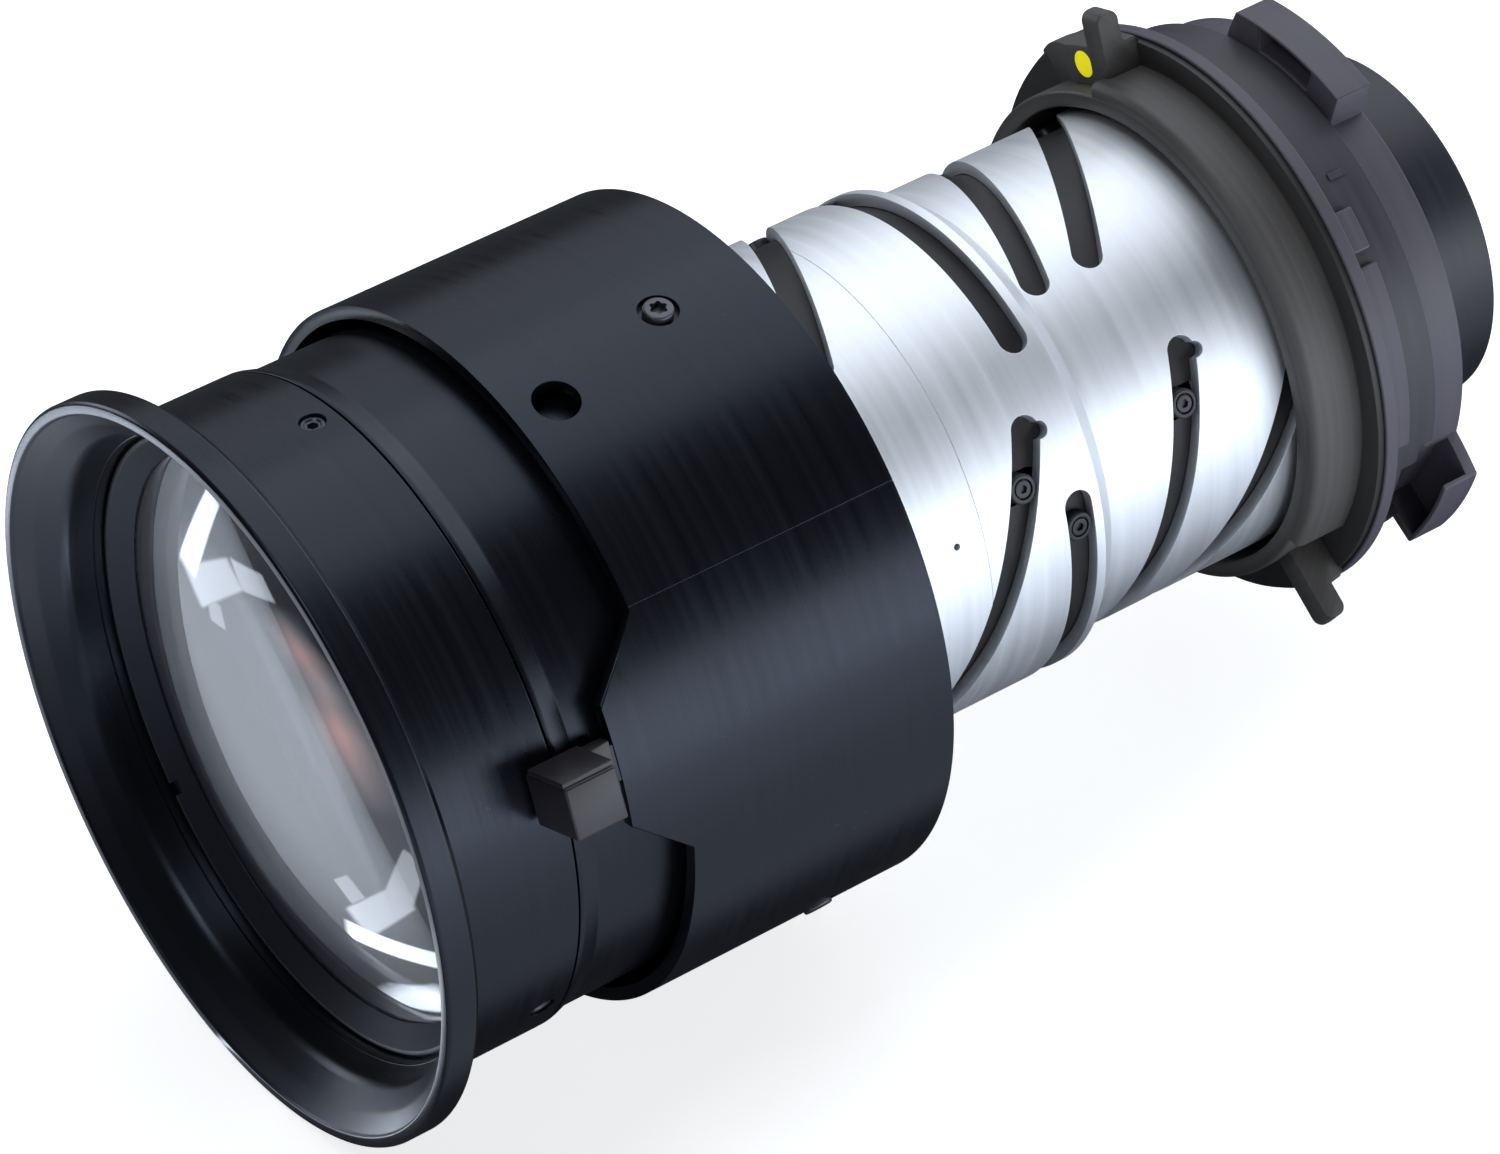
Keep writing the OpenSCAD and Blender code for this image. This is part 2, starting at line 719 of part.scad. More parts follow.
// One stop tab: a narrow upright with a rounded top on a wider foot
module stop_tab() {
    front = collar_front_y - tab_h;
    back = front + tab_h * tab_top_share;
    root_r = collar_lip_r - edge_break;
    foot_r = collar_plate_r + 3 * edge_break;
    translate([-tab_t / 2, 0, 0]) rotate([90, 0, 90]) linear_extrude(tab_t) polygon([
        [front, root_r],
        for (i = [0 : 4]) let (a = 90 * i / 4)
            [front + tab_round * (1 - cos(a)), tab_r - tab_round * (1 - sin(a))],
        for (i = [0 : 4]) let (a = 90 * i / 4)
            [back - tab_round * (1 - sin(a)), tab_r - tab_round * (1 - cos(a))],
        [back, foot_r + edge_break],
        [back + edge_break, foot_r],
        [collar_front_y - edge_break, foot_r],
        [collar_front_y + edge_break, foot_r - 2 * edge_break],
        [collar_front_y + edge_break, root_r]]);
}

// The painted index dot
module index_dot() {
    color(c_yellow) at_angle(dot_angle)
        translate([0, collar_front_y - dot_pad_h - dot_proud, dot_centre_r]) rotate([-90, 0, 0])
            cylinder(r = dot_r, h = dot_t);
}

// The small screws that hold the collar
module collar_screws() {
    head_t = collar_plate_t / 2;
    color(c_screw) collar_screw_places()
        translate([0, edge_break / 4, 0]) rotate([-90, 0, 0]) {
            cylinder(r = collar_screw_r, h = head_t - edge_break / 4);
            cylinder(r = collar_screw_shank_r, h = collar_screw_len - edge_break / 4);
        }
}

// The fixed guide barrel with a straight slot for each follower
module guide_barrel() {
    slot_half = roller_r + guide_play;
    foot_hole_r = rear_screw_r;
    color(c_black_soft) difference() {
        lathe([
            [guide_front_bore_r, guide_front_y],
            [guide_flange_r, guide_front_y],
            [guide_flange_r, guide_front_y + guide_flange_t],
            [guide_front_r, guide_front_y + guide_flange_t],
            [guide_front_r, guide_step_y],
            [guide_rear_r, guide_step_y],
            [guide_rear_r, guide_end_y],
            [guide_foot_r, guide_end_y],
            [guide_foot_r, guide_foot_y],
            [guide_rear_bore_r, guide_foot_y],
            [guide_rear_bore_r, guide_step_y - guide_shoulder_t],
            [guide_front_bore_r, guide_step_y - guide_shoulder_t]]);
        around(roller_count, follower_angle) {
            guide_slot(slot_half, -follower_y[0] - cam_lead[0] * turn_tele,
                -follower_y[0] + cam_lead[0] * turn_wide, guide_front_bore_r, guide_front_r);
            guide_slot(slot_half, -follower_y[1] - cam_lead[1] * turn_tele,
                -follower_y[2] + cam_lead[2] * turn_wide, guide_rear_bore_r, guide_rear_r);
        }
        around(roller_count, keeper_angle)
            radial_bar(roller_shank_r, -keeper_y, guide_front_bore_r - over, guide_front_r + over);
        around(roller_count, follower_angle)
            translate([0, guide_front_y - over, flange_screw_circle]) rotate([-90, 0, 0])
                cylinder(r = flange_screw_r, h = guide_flange_t + 2 * over);
    }
}

// A cutter for one straight guide slot, between the outermost places of its followers
module guide_slot(half, front, back, inner, outer) {
    low = inner - over;
    tall = outer - inner + 2 * over;
    translate([-half, front - guide_slot_margin, low]) cube([2 * half, back - front + 2 * guide_slot_margin, tall]);
    for (y = [front - guide_slot_margin, back + guide_slot_margin])
        translate([0, y, low]) cylinder(r = half, h = tall);
}

// The fixed front tube that carries the focus thread
module front_tube() {
    spigot_y = tube_front_y - tube_spigot_len;
    color(c_black) difference() {
        lathe([
            [tube_bore_r, spigot_y],
            [tube_spigot_r - edge_break, spigot_y],
            [tube_spigot_r, spigot_y + edge_break],
            [tube_spigot_r, tube_front_y],
            [focus_ring_r - edge_break / 4, tube_front_y],
            [focus_ring_r, tube_front_y + edge_break / 4],
            [focus_ring_r, tube_front_y + tube_land],
            [tube_r, tube_front_y + tube_land + tube_chamfer_len],
            [tube_r, tube_rear_y],
            [guide_front_bore_r, tube_rear_y],
            [guide_front_bore_r, tube_rear_y - tube_wall_t],
            [tube_bore_r, tube_rear_y - tube_wall_t]]);
        around(roller_count, 0)
            translate([-key_r - guide_play, spigot_y - over, tube_bore_r - over])
                cube([2 * (key_r + guide_play), key_y - spigot_y + key_r + seam_gap + over,
                    key_reach_r + 2 * guide_play - tube_bore_r + over]);
        around(roller_count, follower_angle)
            translate([0, tube_rear_y - tube_wall_t - over, flange_screw_circle]) rotate([-90, 0, 0]) {
                cylinder(r = flange_screw_head_r + edge_break, h = over + flange_screw_head_t);
                cylinder(r = flange_screw_r, h = tube_wall_t + 2 * over);
            }
    }
}

// The screws that join the front tube and the guide barrel
module tube_flange_screws() {
    color(c_screw) around(roller_count, follower_angle)
        axial_screw(flange_screw_circle, tube_rear_y - tube_wall_t, flange_screw_head_r,
            flange_screw_head_t, flange_screw_r, tube_wall_t + guide_flange_t);
}

// A roller with its bore and its seat for the screw head
module roller(y, inner, outer) {
    difference() {
        radial_bar(roller_r, y, inner, outer);
        radial_bar(roller_shank_r, y, inner - over, outer + over);
        radial_bar(roller_head_r + guide_play, y, outer - roller_head_t, outer + over);
    }
}

// A roller screw with its hexagon socket
module roller_screw(y, seat, top, depth) {
    difference() {
        union() {
            radial_bar(roller_head_r, y, top - roller_head_t, top - guide_play);
            radial_bar(roller_shank_r, y, seat - depth, top - roller_head_t);
        }
        translate([0, y, top - roller_head_t / 2])
            cylinder(r = roller_head_r * set_socket_share, h = roller_head_t, $fn = 6);
    }
}

// The rollers that hold the cam barrel in place along the axis
module keeper_rollers() {
    color(c_roller) around(roller_count, keeper_angle)
        roller(-keeper_y, guide_front_r, cam_front_r - roller_sink);
}

// Their screws
module keeper_screws() {
    color(c_screw) around(roller_count, keeper_angle)
        roller_screw(-keeper_y, guide_front_r, cam_front_r - roller_sink, guide_front_wall);
}

// The rear barrel with its flange and the seat of the rear element
module rear_barrel() {
    color(c_black) difference() {
        lathe([
            [rear_throat_r, web_back_y],
            [rear_flange_r, web_back_y],
            [rear_flange_r, rear_flange_y],
            [rear_barrel_r, rear_flange_y],
            [rear_barrel_r, rear_end_y - edge_break],
            [rear_barrel_r - edge_break, rear_end_y],
            [rear_glass_r + edge_break, rear_end_y],
            [rear_glass_r, rear_end_y - edge_break],
            [rear_glass_r, rear_seat_y],
            [rear_throat_r, rear_seat_y - rear_seat_slope]]);
        around(rear_screw_count, turn / rear_screw_count / 2)
            translate([0, web_back_y - over, rear_screw_circle]) rotate([-90, 0, 0]) {
                cylinder(r = rear_screw_r, h = rear_flange_y - web_back_y + 2 * over);
                translate([0, 0, rear_flange_y - web_back_y + over - rear_screw_head_t])
                    cylinder(r = rear_screw_head_r + edge_break / 2, h = rear_screw_head_t + over);
            }
    }
}

// The rear glass element
module rear_element() {
    color(c_glass) element(rear_glass_r, rear_seat_y, rear_seat_y + rear_glass_edge,
        rear_glass_curve, rear_glass_back);
}

// The ring that holds the rear element
module rear_retainer() {
    seat_y = rear_seat_y + rear_glass_edge;
    color(c_black_soft) retaining_ring(rear_glass_r, seat_y, seat_y + retainer_t, rear_glass_back, 1);
}

// The screws in the rear flange
module rear_flange_screws() {
    color(c_screw) around(rear_screw_count, turn / rear_screw_count / 2)
        translate([0, rear_flange_y, rear_screw_circle]) rotate([90, 0, 0]) {
            difference() {
                cylinder(r = rear_screw_head_r, h = rear_screw_head_t);
                translate([0, 0, -over])
                    cylinder(r = rear_screw_head_r * set_socket_share, h = over + rear_screw_head_t / 2, $fn = 6);
            }
            translate([0, 0, rear_screw_head_t])
                cylinder(r = rear_screw_r, h = rear_flange_y - web_back_y + rear_screw_depth - rear_screw_head_t);
        }
}

// A threaded ring on the rim of an element, from y0 to y1, clear of a bulging face.
// side is -1 in front of the glass and 1 behind it
module retaining_ring(r, y0, y1, curve, side) {
    inner = r - retainer_seat;
    slope = curve > 0 ? sag(curve, r) - sag(curve, inner) + edge_break / 4 : 0;
    y_glass = side > 0 ? y0 : y1;
    y_free = side > 0 ? y1 : y0;
    lathe([
        [r, y_glass],
        [r, y_free],
        [inner, y_free],
        [inner, y_glass + side * slope]]);
}

// The zoom ring with its tongue, neck, screw seats, access hole and index line
module zoom_ring() {
    color(c_black) difference() {
        union() {
            lathe([
                [zoom_bore_r, zoom_front_y],
                [zoom_ring_r - edge_break / 2, zoom_front_y],
                [zoom_ring_r, zoom_front_y + edge_break / 2],
                [zoom_ring_r, zoom_rear_y - edge_break],
                [zoom_ring_r - edge_break, zoom_rear_y],
                [zoom_bore_r, zoom_rear_y]]);
            tongue();
            at_angle(lever_angle) lever_neck(lever_neck_w, lever_neck_top_r, lever_neck_reach + lever_gap);
        }
        around(ring_screw_count, ring_screw_angle) {
            radial_bar(ring_screw_shank_r + edge_break / 4, ring_screw_y, zoom_bore_r - over, zoom_ring_r);
            radial_bar(ring_screw_bore_r, ring_screw_y, zoom_ring_r - ring_screw_counterbore, zoom_ring_r + over);
        }
        at_angle(access_hole_angle)
            radial_bar(access_hole_r, zoom_front_y + access_hole_inset, zoom_bore_r - over, zoom_ring_r + over);
        at_angle(index_line_angle)
            translate([-index_line_w / 2, zoom_front_y - over, zoom_ring_r - index_line_depth])
                cube([index_line_w, zoom_ring_len + 2 * over, index_line_depth + over]);
        at_angle(lever_angle) lever_screw_hole();
    }
}

// The tongue in front of the zoom ring: a sector with both sides cut to a slope
module tongue() {
    start = tongue_root_angles[0];
    end = tongue_root_angles[1];
    difference() {
        sector([
            [zoom_bore_r + tongue_set, zoom_front_y - tongue_len],
            [zoom_ring_r - tongue_set, zoom_front_y - tongue_len],
            [zoom_ring_r - tongue_set, zoom_front_y + tongue_root],
            [zoom_bore_r + tongue_set, zoom_front_y + tongue_root]],
            start - tongue_spare, end - start + 2 * tongue_spare);
        tongue_side(start, tongue_tip_angles[0], -1);
        tongue_side(end, tongue_tip_angles[1], 1);
    }
}

// A cutter that slopes one side of the tongue, between its root and tip angles
module tongue_side(root_a, tip_a, side) {
    half = (tip_a - root_a) / 2;
    x0 = -zoom_ring_r * sin(half);
    x1 = zoom_ring_r * sin(half);
    wide = side * zoom_ring_r / 2;
    slope = (x1 - x0) / tongue_len;
    low = tongue_root + over;
    at_angle((root_a + tip_a) / 2) translate([0, 0, zoom_bore_r * tongue_share]) linear_extrude(zoom_ring_r)
        polygon([
            [x0 - slope * low, zoom_front_y + low],
            [x1 + slope * over, zoom_front_y - tongue_len - over],
            [wide, zoom_front_y - tongue_len - over],
            [wide, zoom_front_y + low]]);
}

// The neck that joins the tongue and the lever
module lever_neck(w, top, reach) {
    translate([-w / 2, zoom_front_y - tongue_len - reach, lever_neck_foot_r])
        cube([w, reach + edge_break, top - lever_neck_foot_r]);
}

// The hole for the lever's screw, with its seat on the inside
module lever_screw_hole() {
    y = (lever_front_y + lever_rear_y) / 2;
    radial_bar(lever_screw_r, y, lever_foot_r - over, lever_foot_r + lever_screw_len);
    radial_bar(lever_screw_head_r + guide_play, y, lever_foot_r - over, lever_foot_r + lever_screw_head_t);
}

// The square lever that caps the neck
module zoom_lever() {
    slit = edge_break / 4;
    plate_z = lever_top_r - lever_plate_t;
    color(c_black_soft) at_angle(lever_angle) difference() {
        union() {
            translate([-lever_w / 2, lever_front_y, lever_foot_r]) cube([lever_w, lever_w, lever_h - edge_break]);
            translate([-lever_w / 2 + edge_break, lever_front_y + edge_break, lever_foot_r])
                cube([lever_w - 2 * edge_break, lever_w - 2 * edge_break, lever_h]);
            translate([-lever_w / 2 - lever_plate_proud, lever_front_y, lever_foot_r + lever_plate_t])
                cube([lever_plate_t, lever_w, lever_h - lever_plate_t - edge_break]);
            translate([-lever_neck_w / 2 - lever_plate_t, lever_rear_y - edge_break, lever_foot_r])
                cube([lever_neck_w + 2 * lever_plate_t, lever_gap - edge_break, zoom_ring_r - lever_foot_r + lever_plate_t]);
        }
        translate([-lever_neck_w / 2, zoom_front_y - tongue_len - lever_gap - lever_neck_reach, lever_foot_r - over])
            cube([lever_neck_w, lever_neck_reach + lever_gap + over, lever_neck_top_r - lever_foot_r + over]);
        radial_bar(lever_screw_r, (lever_front_y + lever_rear_y) / 2, lever_foot_r, lever_foot_r + lever_screw_len);
    }
}

// The screw that holds the lever, from the inside of the neck
module lever_screw() {
    y = (lever_front_y + lever_rear_y) / 2;
    color(c_screw) at_angle(lever_angle) {
        radial_bar(lever_screw_head_r, y, lever_foot_r + guide_play, lever_foot_r + lever_screw_head_t);
        radial_bar(lever_screw_r, y, lever_foot_r + lever_screw_head_t, lever_foot_r + lever_screw_len);
    }
}

// The hub on the cam barrel's front end, which carries the zoom ring
module cam_hub() {
    web_front_y = hub_y + hub_rim_len * 0.45;
    color(c_silver) difference() {
        lathe([
            [cam_front_r, web_front_y],
            [hub_r - hub_rim_t, web_front_y],
            [hub_r - hub_rim_t, hub_y],
            [hub_r, hub_y],
            [hub_r, hub_y + hub_rim_len],
            [hub_r - hub_rim_t, hub_y + hub_rim_len],
            [hub_r - hub_rim_t, web_front_y + hub_t],
            [cam_front_r, web_front_y + hub_t]]);
        around(ring_screw_count, ring_screw_angle)
            radial_bar(ring_screw_shank_r, ring_screw_y, hub_r - hub_rim_t - over, hub_r + over);
    }
}

// The cam barrel: two stretches of turned tube with three cam slots and a keeper slot, each
// three times round
module cam_barrel() {
    color(c_silver) difference() {
        lathe([
            [cam_front_bore_r, cam_start_y],
            [cam_front_r, cam_start_y],
            [cam_front_r, cam_cone_y],
            [cam_rear_r, cam_rear_y],
            [cam_rear_r, cam_end_y],
            [cam_rear_bore_r, cam_end_y],
            [cam_rear_bore_r, cam_bore_step_y],
            [cam_front_bore_r, cam_bore_step_y]]);
        around(roller_count, 0) {
            for (g = [0 : 2]) {
                outer = g == 0 ? cam_front_r : cam_rear_r;
                slot_cutter(slot_start[g], slot_end[g], cam_line(g, slot_start[g]), cam_lead[g],
                    outer - cam_wall, outer);
            }
            slot_cutter(keeper_slot[0], keeper_slot[1], -keeper_y, 0, cam_front_bore_r, cam_front_r);
            for (g = [0, 1])
                at_angle(slot_start[g] + notch_turn)
                    radial_bar(notch_r, cam_line(g, slot_start[g]) + notch_back, guide_rear_r, cam_front_r + over);
        }
        tube(cam_front_r + over, cam_front_r - scribe_depth, scribe_y - scribe_w / 2, scribe_y + scribe_w / 2);
        at_angle(pin_hole_angle) radial_bar(pin_hole_r, pin_hole_y, cam_front_bore_r - over, cam_front_r + over);
    }
}

// The screws that join the zoom ring and the cam barrel
module zoom_ring_screws() {
    top = zoom_ring_r + ring_screw_proud;
    seat = zoom_ring_r - ring_screw_counterbore;
    color(c_screw) around(ring_screw_count, ring_screw_angle) difference() {
        union() {
            radial_bar(ring_screw_head_r, ring_screw_y, seat, top - edge_break / 2);
            radial_bar(ring_screw_head_r - edge_break / 2, ring_screw_y, seat, top);
            radial_bar(ring_screw_shank_r, ring_screw_y, hub_r - hub_rim_t + edge_break, seat);
        }
        translate([0, ring_screw_y, (top + seat) / 2])
            cylinder(r = ring_screw_head_r * set_socket_share, h = ring_screw_head_r, $fn = 6);
    }
}

// Where a group's element starts along the axis
function group_glass_y(g) = -follower_y[g] - cell_len[g] / 2 + cell_len[g] * lens_front_share[g];

// A group's cell: a short tube with a seat for its element and holes for the roller screws
module zoom_cell(g) {
    y0 = -follower_y[g] - cell_len[g] / 2;
    y1 = y0 + cell_len[g];
    seat_y = group_glass_y(g) + group_lens_edge[g];
    seat_r = group_lens_r[g] - edge_break;
    slope = sag(group_back_curve[g], group_lens_r[g]) - sag(group_back_curve[g], seat_r) + edge_break / 8;
    r = follower_seat_r[g];
    color(c_black_soft) difference() {
        lathe([
            [group_lens_r[g], y0],
            [r - edge_break, y0],
            [r, y0 + edge_break],
            [r, y1 - edge_break],
            [r - edge_break, y1],
            [seat_r, y1],
            [seat_r, seat_y + slope],
            [group_lens_r[g], seat_y]]);
        around(roller_count, follower_angle)
            radial_bar(roller_shank_r, -follower_y[g], r - roller_screw_depth, r + over);
    }
}

// A group's glass
module zoom_element(g) {
    y = group_glass_y(g);
    color(c_glass) element(group_lens_r[g], y, y + group_lens_edge[g], group_front_curve[g], group_back_curve[g]);
}

// The ring in front of a group's glass
module zoom_retainer(g) {
    y = group_glass_y(g);
    t = min(retainer_t, y + follower_y[g] + cell_len[g] / 2);
    color(c_black_soft) retaining_ring(group_lens_r[g], y - t, y, group_front_curve[g], -1);
}

// A group's three rollers
module zoom_rollers(g) {
    color(c_roller) around(roller_count, follower_angle)
        roller(-follower_y[g], follower_seat_r[g], follower_top_r[g]);
}

// Their screws
module zoom_roller_screws(g) {
    color(c_screw) around(roller_count, follower_angle)
        roller_screw(-follower_y[g], follower_seat_r[g], follower_top_r[g], roller_screw_depth);
}

// The front cell, which slides in the front tube and doesn't turn
module front_cell() {
    color(c_black_soft) difference() {
        lathe([
            [front_retainer_r, front_flange_y],
            [front_flange_r, front_flange_y],
            [front_flange_r, front_seat_y],
            [front_cell_r, front_seat_y],
            [front_cell_r, front_cell_end_y - edge_break],
            [front_cell_r - edge_break, front_cell_end_y],
            [third_glass_r, front_cell_end_y],
            [third_glass_r, third_step_y],
            [third_throat_r, third_step_y - third_seat_slope],
            [third_throat_r, second_step_y],
            [second_glass_r, second_step_y],
            [second_glass_r, second_seat_y],
            [front_glass_r, second_seat_y],
            [front_glass_r, front_glass_y],
            [front_retainer_r, front_glass_y]]);
        around(roller_count, 0) radial_bar(key_r, key_y, front_cell_r - key_depth, front_cell_r + over);
    }
}

// The large front element
module front_element() {
    color(c_glass) element(front_glass_r, front_glass_y, front_glass_y + front_glass_edge,
        front_glass_curve, -front_glass_back);
}

// The second element, hollow at the back
module second_element() {
    y0 = second_seat_y + second_retainer_t;
    y1 = y0 + second_glass_edge;
    color(c_glass) difference() {
        element(second_glass_r, y0, y1, second_glass_curve, 0);
        rotate([-90, 0, 0])
            translate([0, 0, y1 - sag(second_glass_back, second_hollow_r) + second_glass_back])
                sphere(r = second_glass_back);
    }
}

// The third element
module third_element() {
    color(c_glass) element(third_glass_r, third_step_y, third_step_y + third_glass_edge,
        third_glass_curve, third_glass_back);
}

// The black conical spacer between the first two elements
module element_spacer() {
    y0 = front_glass_y + front_glass_edge;
    color(c_black) lathe([
        [front_glass_r, y0],
        [front_glass_r, second_seat_y],
        [second_glass_r - retainer_seat, second_seat_y],
        [front_glass_r - retainer_seat, y0]]);
}

// The ring in front of the second element
module second_retainer() {
    y1 = second_seat_y + second_retainer_t;
    color(c_black_soft) retaining_ring(second_glass_r, second_seat_y, y1, second_glass_curve, -1);
}

// The ring behind the third element
module third_retainer() {
    y0 = third_step_y + third_glass_edge;
    color(c_black_soft) retaining_ring(third_glass_r, y0, y0 + retainer_t, third_glass_back, 1);
}

// The bevelled ring that holds the front element, with two spanner notches
module front_retainer() {
    front_y = front_flange_y - front_retainer_proud;
    notch_w = 2;
    notch_depth = 0.8;
    notch_len = 1.6;
    color(c_black) difference() {
        lathe([
            [front_retainer_r, front_glass_y],
            [front_retainer_r, front_y + edge_break / 2],
            [front_retainer_r - edge_break / 2, front_y],
            [front_retainer_r - retainer_lip_w, front_y],
            [front_seat_r, front_glass_y - edge_break],
            [front_seat_r, front_glass_y - front_seat_slope],
            [front_glass_r, front_glass_y]]);
        around(2, spanner_angle)
            translate([-notch_w / 2, front_y - over, front_retainer_r - notch_len])
                cube([notch_w, notch_depth + over, notch_len + over]);
    }
}

// The keys that stop the front cell from turning
module cell_keys() {
    color(c_screw) around(roller_count, 0) radial_bar(key_r, key_y, front_cell_r - key_depth, key_reach_r);
}

// The flared hood
module hood() {
    color(c_black) lathe([
        [hood_mouth_r, rim_y],
        [hood_rim_r, rim_y],
        [hood_lip_r, rim_y + edge_break],
        [hood_lip_r, hood_step_y - hood_lip_chamfer],
        [hood_lip_r - hood_lip_chamfer, hood_step_y],
        [focus_ring_r, hood_step_y],
        [focus_ring_r, focus_front_y],
        [focus_cup_r, focus_front_y],
        [focus_cup_r, spigot_rear_y],
        [hood_throat_r, spigot_rear_y],
        [hood_throat_r, spigot_rear_y - hood_throat_len],
        [hood_waist_r, hood_step_y],
        [hood_crease_r, rim_y + hood_crease_depth],
        [hood_mouth_r - edge_break / 2, rim_y + edge_break]]);
}

// The focus ring
module focus_ring() {
    color(c_black) difference() {
        lathe([
            [focus_cup_r, focus_front_y],
            [focus_ring_r, focus_front_y],
            [focus_ring_r, focus_rear_y - edge_break / 4],
            [focus_ring_r - edge_break / 4, focus_rear_y],
            [focus_bore_r, focus_rear_y],
            [focus_bore_r, cup_floor_y],
            [focus_cup_r, cup_floor_y]]);
        around(set_screw_count, set_screw_angle)
            radial_bar(set_screw_r, focus_rear_y - set_screw_inset, focus_bore_r - over, focus_ring_r + over);
    }
}

// The set screws in the focus ring
module focus_set_screws() {
    y = focus_rear_y - set_screw_inset;
    top = focus_ring_r - set_screw_sink;
    color(c_screw) around(set_screw_count, set_screw_angle) difference() {
        radial_bar(set_screw_r, y, set_screw_tip_r, top);
        translate([0, y, (set_screw_tip_r + top) / 2])
            cylinder(r = set_screw_r * set_socket_share, h = top - set_screw_tip_r, $fn = 6);
    }
}

bayonet_ring();
mount_collar();
index_dot();
collar_screws();
guide_barrel();
front_tube();
tube_flange_screws();
keeper_rollers();
keeper_screws();
rear_barrel();
rear_element();
rear_retainer();
rear_flange_screws();
zoom_ring();
zoom_lever();
lever_screw();
cam_hub();
cam_barrel();
zoom_ring_screws();
zoom_cell(0);  // front_zoom_cell
zoom_element(0);  // front_zoom_element
zoom_retainer(0);  // front_zoom_retainer
zoom_rollers(0);  // front_zoom_rollers
zoom_roller_screws(0);  // front_zoom_roller_screws
zoom_cell(1);  // middle_zoom_cell
zoom_element(1);  // middle_zoom_element
zoom_retainer(1);  // middle_zoom_retainer
zoom_rollers(1);  // middle_zoom_rollers
zoom_roller_screws(1);  // middle_zoom_roller_screws
zoom_cell(2);  // rear_zoom_cell
zoom_element(2);  // rear_zoom_element
zoom_retainer(2);  // rear_zoom_retainer
zoom_rollers(2);  // rear_zoom_rollers
zoom_roller_screws(2);  // rear_zoom_roller_screws
front_cell();
front_element();
second_element();
third_element();
element_spacer();
second_retainer();
third_retainer();
front_retainer();
cell_keys();
hood();
focus_ring();
focus_set_screws();
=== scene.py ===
"""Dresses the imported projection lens: turned black and silver barrels, slots with their
followers, coated glass, the bayonet with its collar, and a pale studio with the camera."""

import math

import bmesh
import bpy
from bpy.props import FloatProperty, FloatVectorProperty, IntProperty, PointerProperty
from bpy.types import Operator, Panel, PropertyGroup
from mathutils import Matrix, Vector


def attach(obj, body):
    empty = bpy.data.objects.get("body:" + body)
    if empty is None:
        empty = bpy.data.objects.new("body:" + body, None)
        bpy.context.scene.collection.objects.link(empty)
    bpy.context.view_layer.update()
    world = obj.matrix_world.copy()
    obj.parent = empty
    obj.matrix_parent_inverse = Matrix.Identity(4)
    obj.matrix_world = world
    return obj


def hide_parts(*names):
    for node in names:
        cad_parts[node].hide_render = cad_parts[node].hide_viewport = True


bl_info = {
    "name": "Projection Lens Finish",
    "version": (1, 0, 0),
    "blender": (4, 5, 0),
    "location": "3D View > Sidebar > Lens",
    "description": "Builds the visible surfaces of a projection lens over its packed frame",
    "category": "Add Mesh",
}

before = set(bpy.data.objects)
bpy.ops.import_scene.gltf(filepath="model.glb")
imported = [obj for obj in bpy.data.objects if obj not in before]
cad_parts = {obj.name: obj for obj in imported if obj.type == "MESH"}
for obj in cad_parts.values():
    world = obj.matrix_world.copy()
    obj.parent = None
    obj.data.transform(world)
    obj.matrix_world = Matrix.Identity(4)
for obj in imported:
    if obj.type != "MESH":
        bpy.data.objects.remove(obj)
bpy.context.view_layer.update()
MM = 0.001
TURN = 2 * math.pi

# Stations along the axis in millimetres from the bayonet flange's seat, as in the solids.
RIM = -172.2
HOOD_STEP = -166.7
FOCUS_FRONT = -162.7
FOCUS_REAR = -147.1
TUBE_FRONT = -146.8
ZOOM_FRONT = -130.1
ZOOM_REAR = -86.4
TONGUE_FRONT = ZOOM_FRONT - 9.1
GLASS_FRONT = -158.16
CONE_FRONT = -47.7
CONE_REAR = -44.7
CAM_END = -0.8
COLLAR_FRONT = -3.3
SEAT = 0.0
BODY_REAR = 10.2
LUG_REAR = 16.8
REAR_END = 32.8
FRONT_CAM, MIDDLE_CAM, REAR_CAM = -59.3, -28.7, -7.6
KEEPER = -51.5
TUBE_REAR = -110.7

# Outer radii in millimetres.
HOOD_R = 55.5
FOCUS_R = 49.65
TUBE_R = 46.95
ZOOM_R = 52.52
CAM_R = 37.15
CAM_REAR_R = 34.63
BODY_R = 40.6
LUG_R = 45.0
GLASS_R = 43.4

# Angles in degrees from +Z towards +X.
CAM_ANGLE = 62
THREE_TIMES = (0, 120, 240)

# How the meshes are made: the weld distance in metres, the degrees for each facet of a bent barrel,
# the segments round small pieces, slots and glass, and the angle in degrees past which an edge is sharp.
LENS_AXIS = (0, 1, 0)
WELD = 1e-7
WRAP_STEP = 1.5
PEG_STEPS = 48
SLOT_STEPS = 48
DISC_STEPS = 40
GLASS_STEPS = 160
SOCKET_LOBES = 6
SHARP_ANGLE = 32

# Shared values of the finishes.
BLUISH = (0.72, 0.8, 1.0)
# The near black of the painted shade on recessed bands of the collar and the bayonet ring.
PAINTED_SHADE = (0.004, 0.004, 0.004)
DUST = (0.35, 0.35, 0.38)
GRAIN_SCALE = 4000.0
BROAD_SHARE = 0.11
BUMP_DEPTH = 0.00002

# The camera that was fitted to the photo: its turn and drop in degrees, its focal length in the
# photo's pixels, and the hood's rim from it, to the right, up and ahead in millimetres.
CAMERA_TURN = 53.86
CAMERA_DROP = 41.69
FOCAL_PIXELS = 6695.6
PHOTO_WIDTH = 1500
RIM_IN_VIEW = (-72.3188, -27.5722, 911.1310)

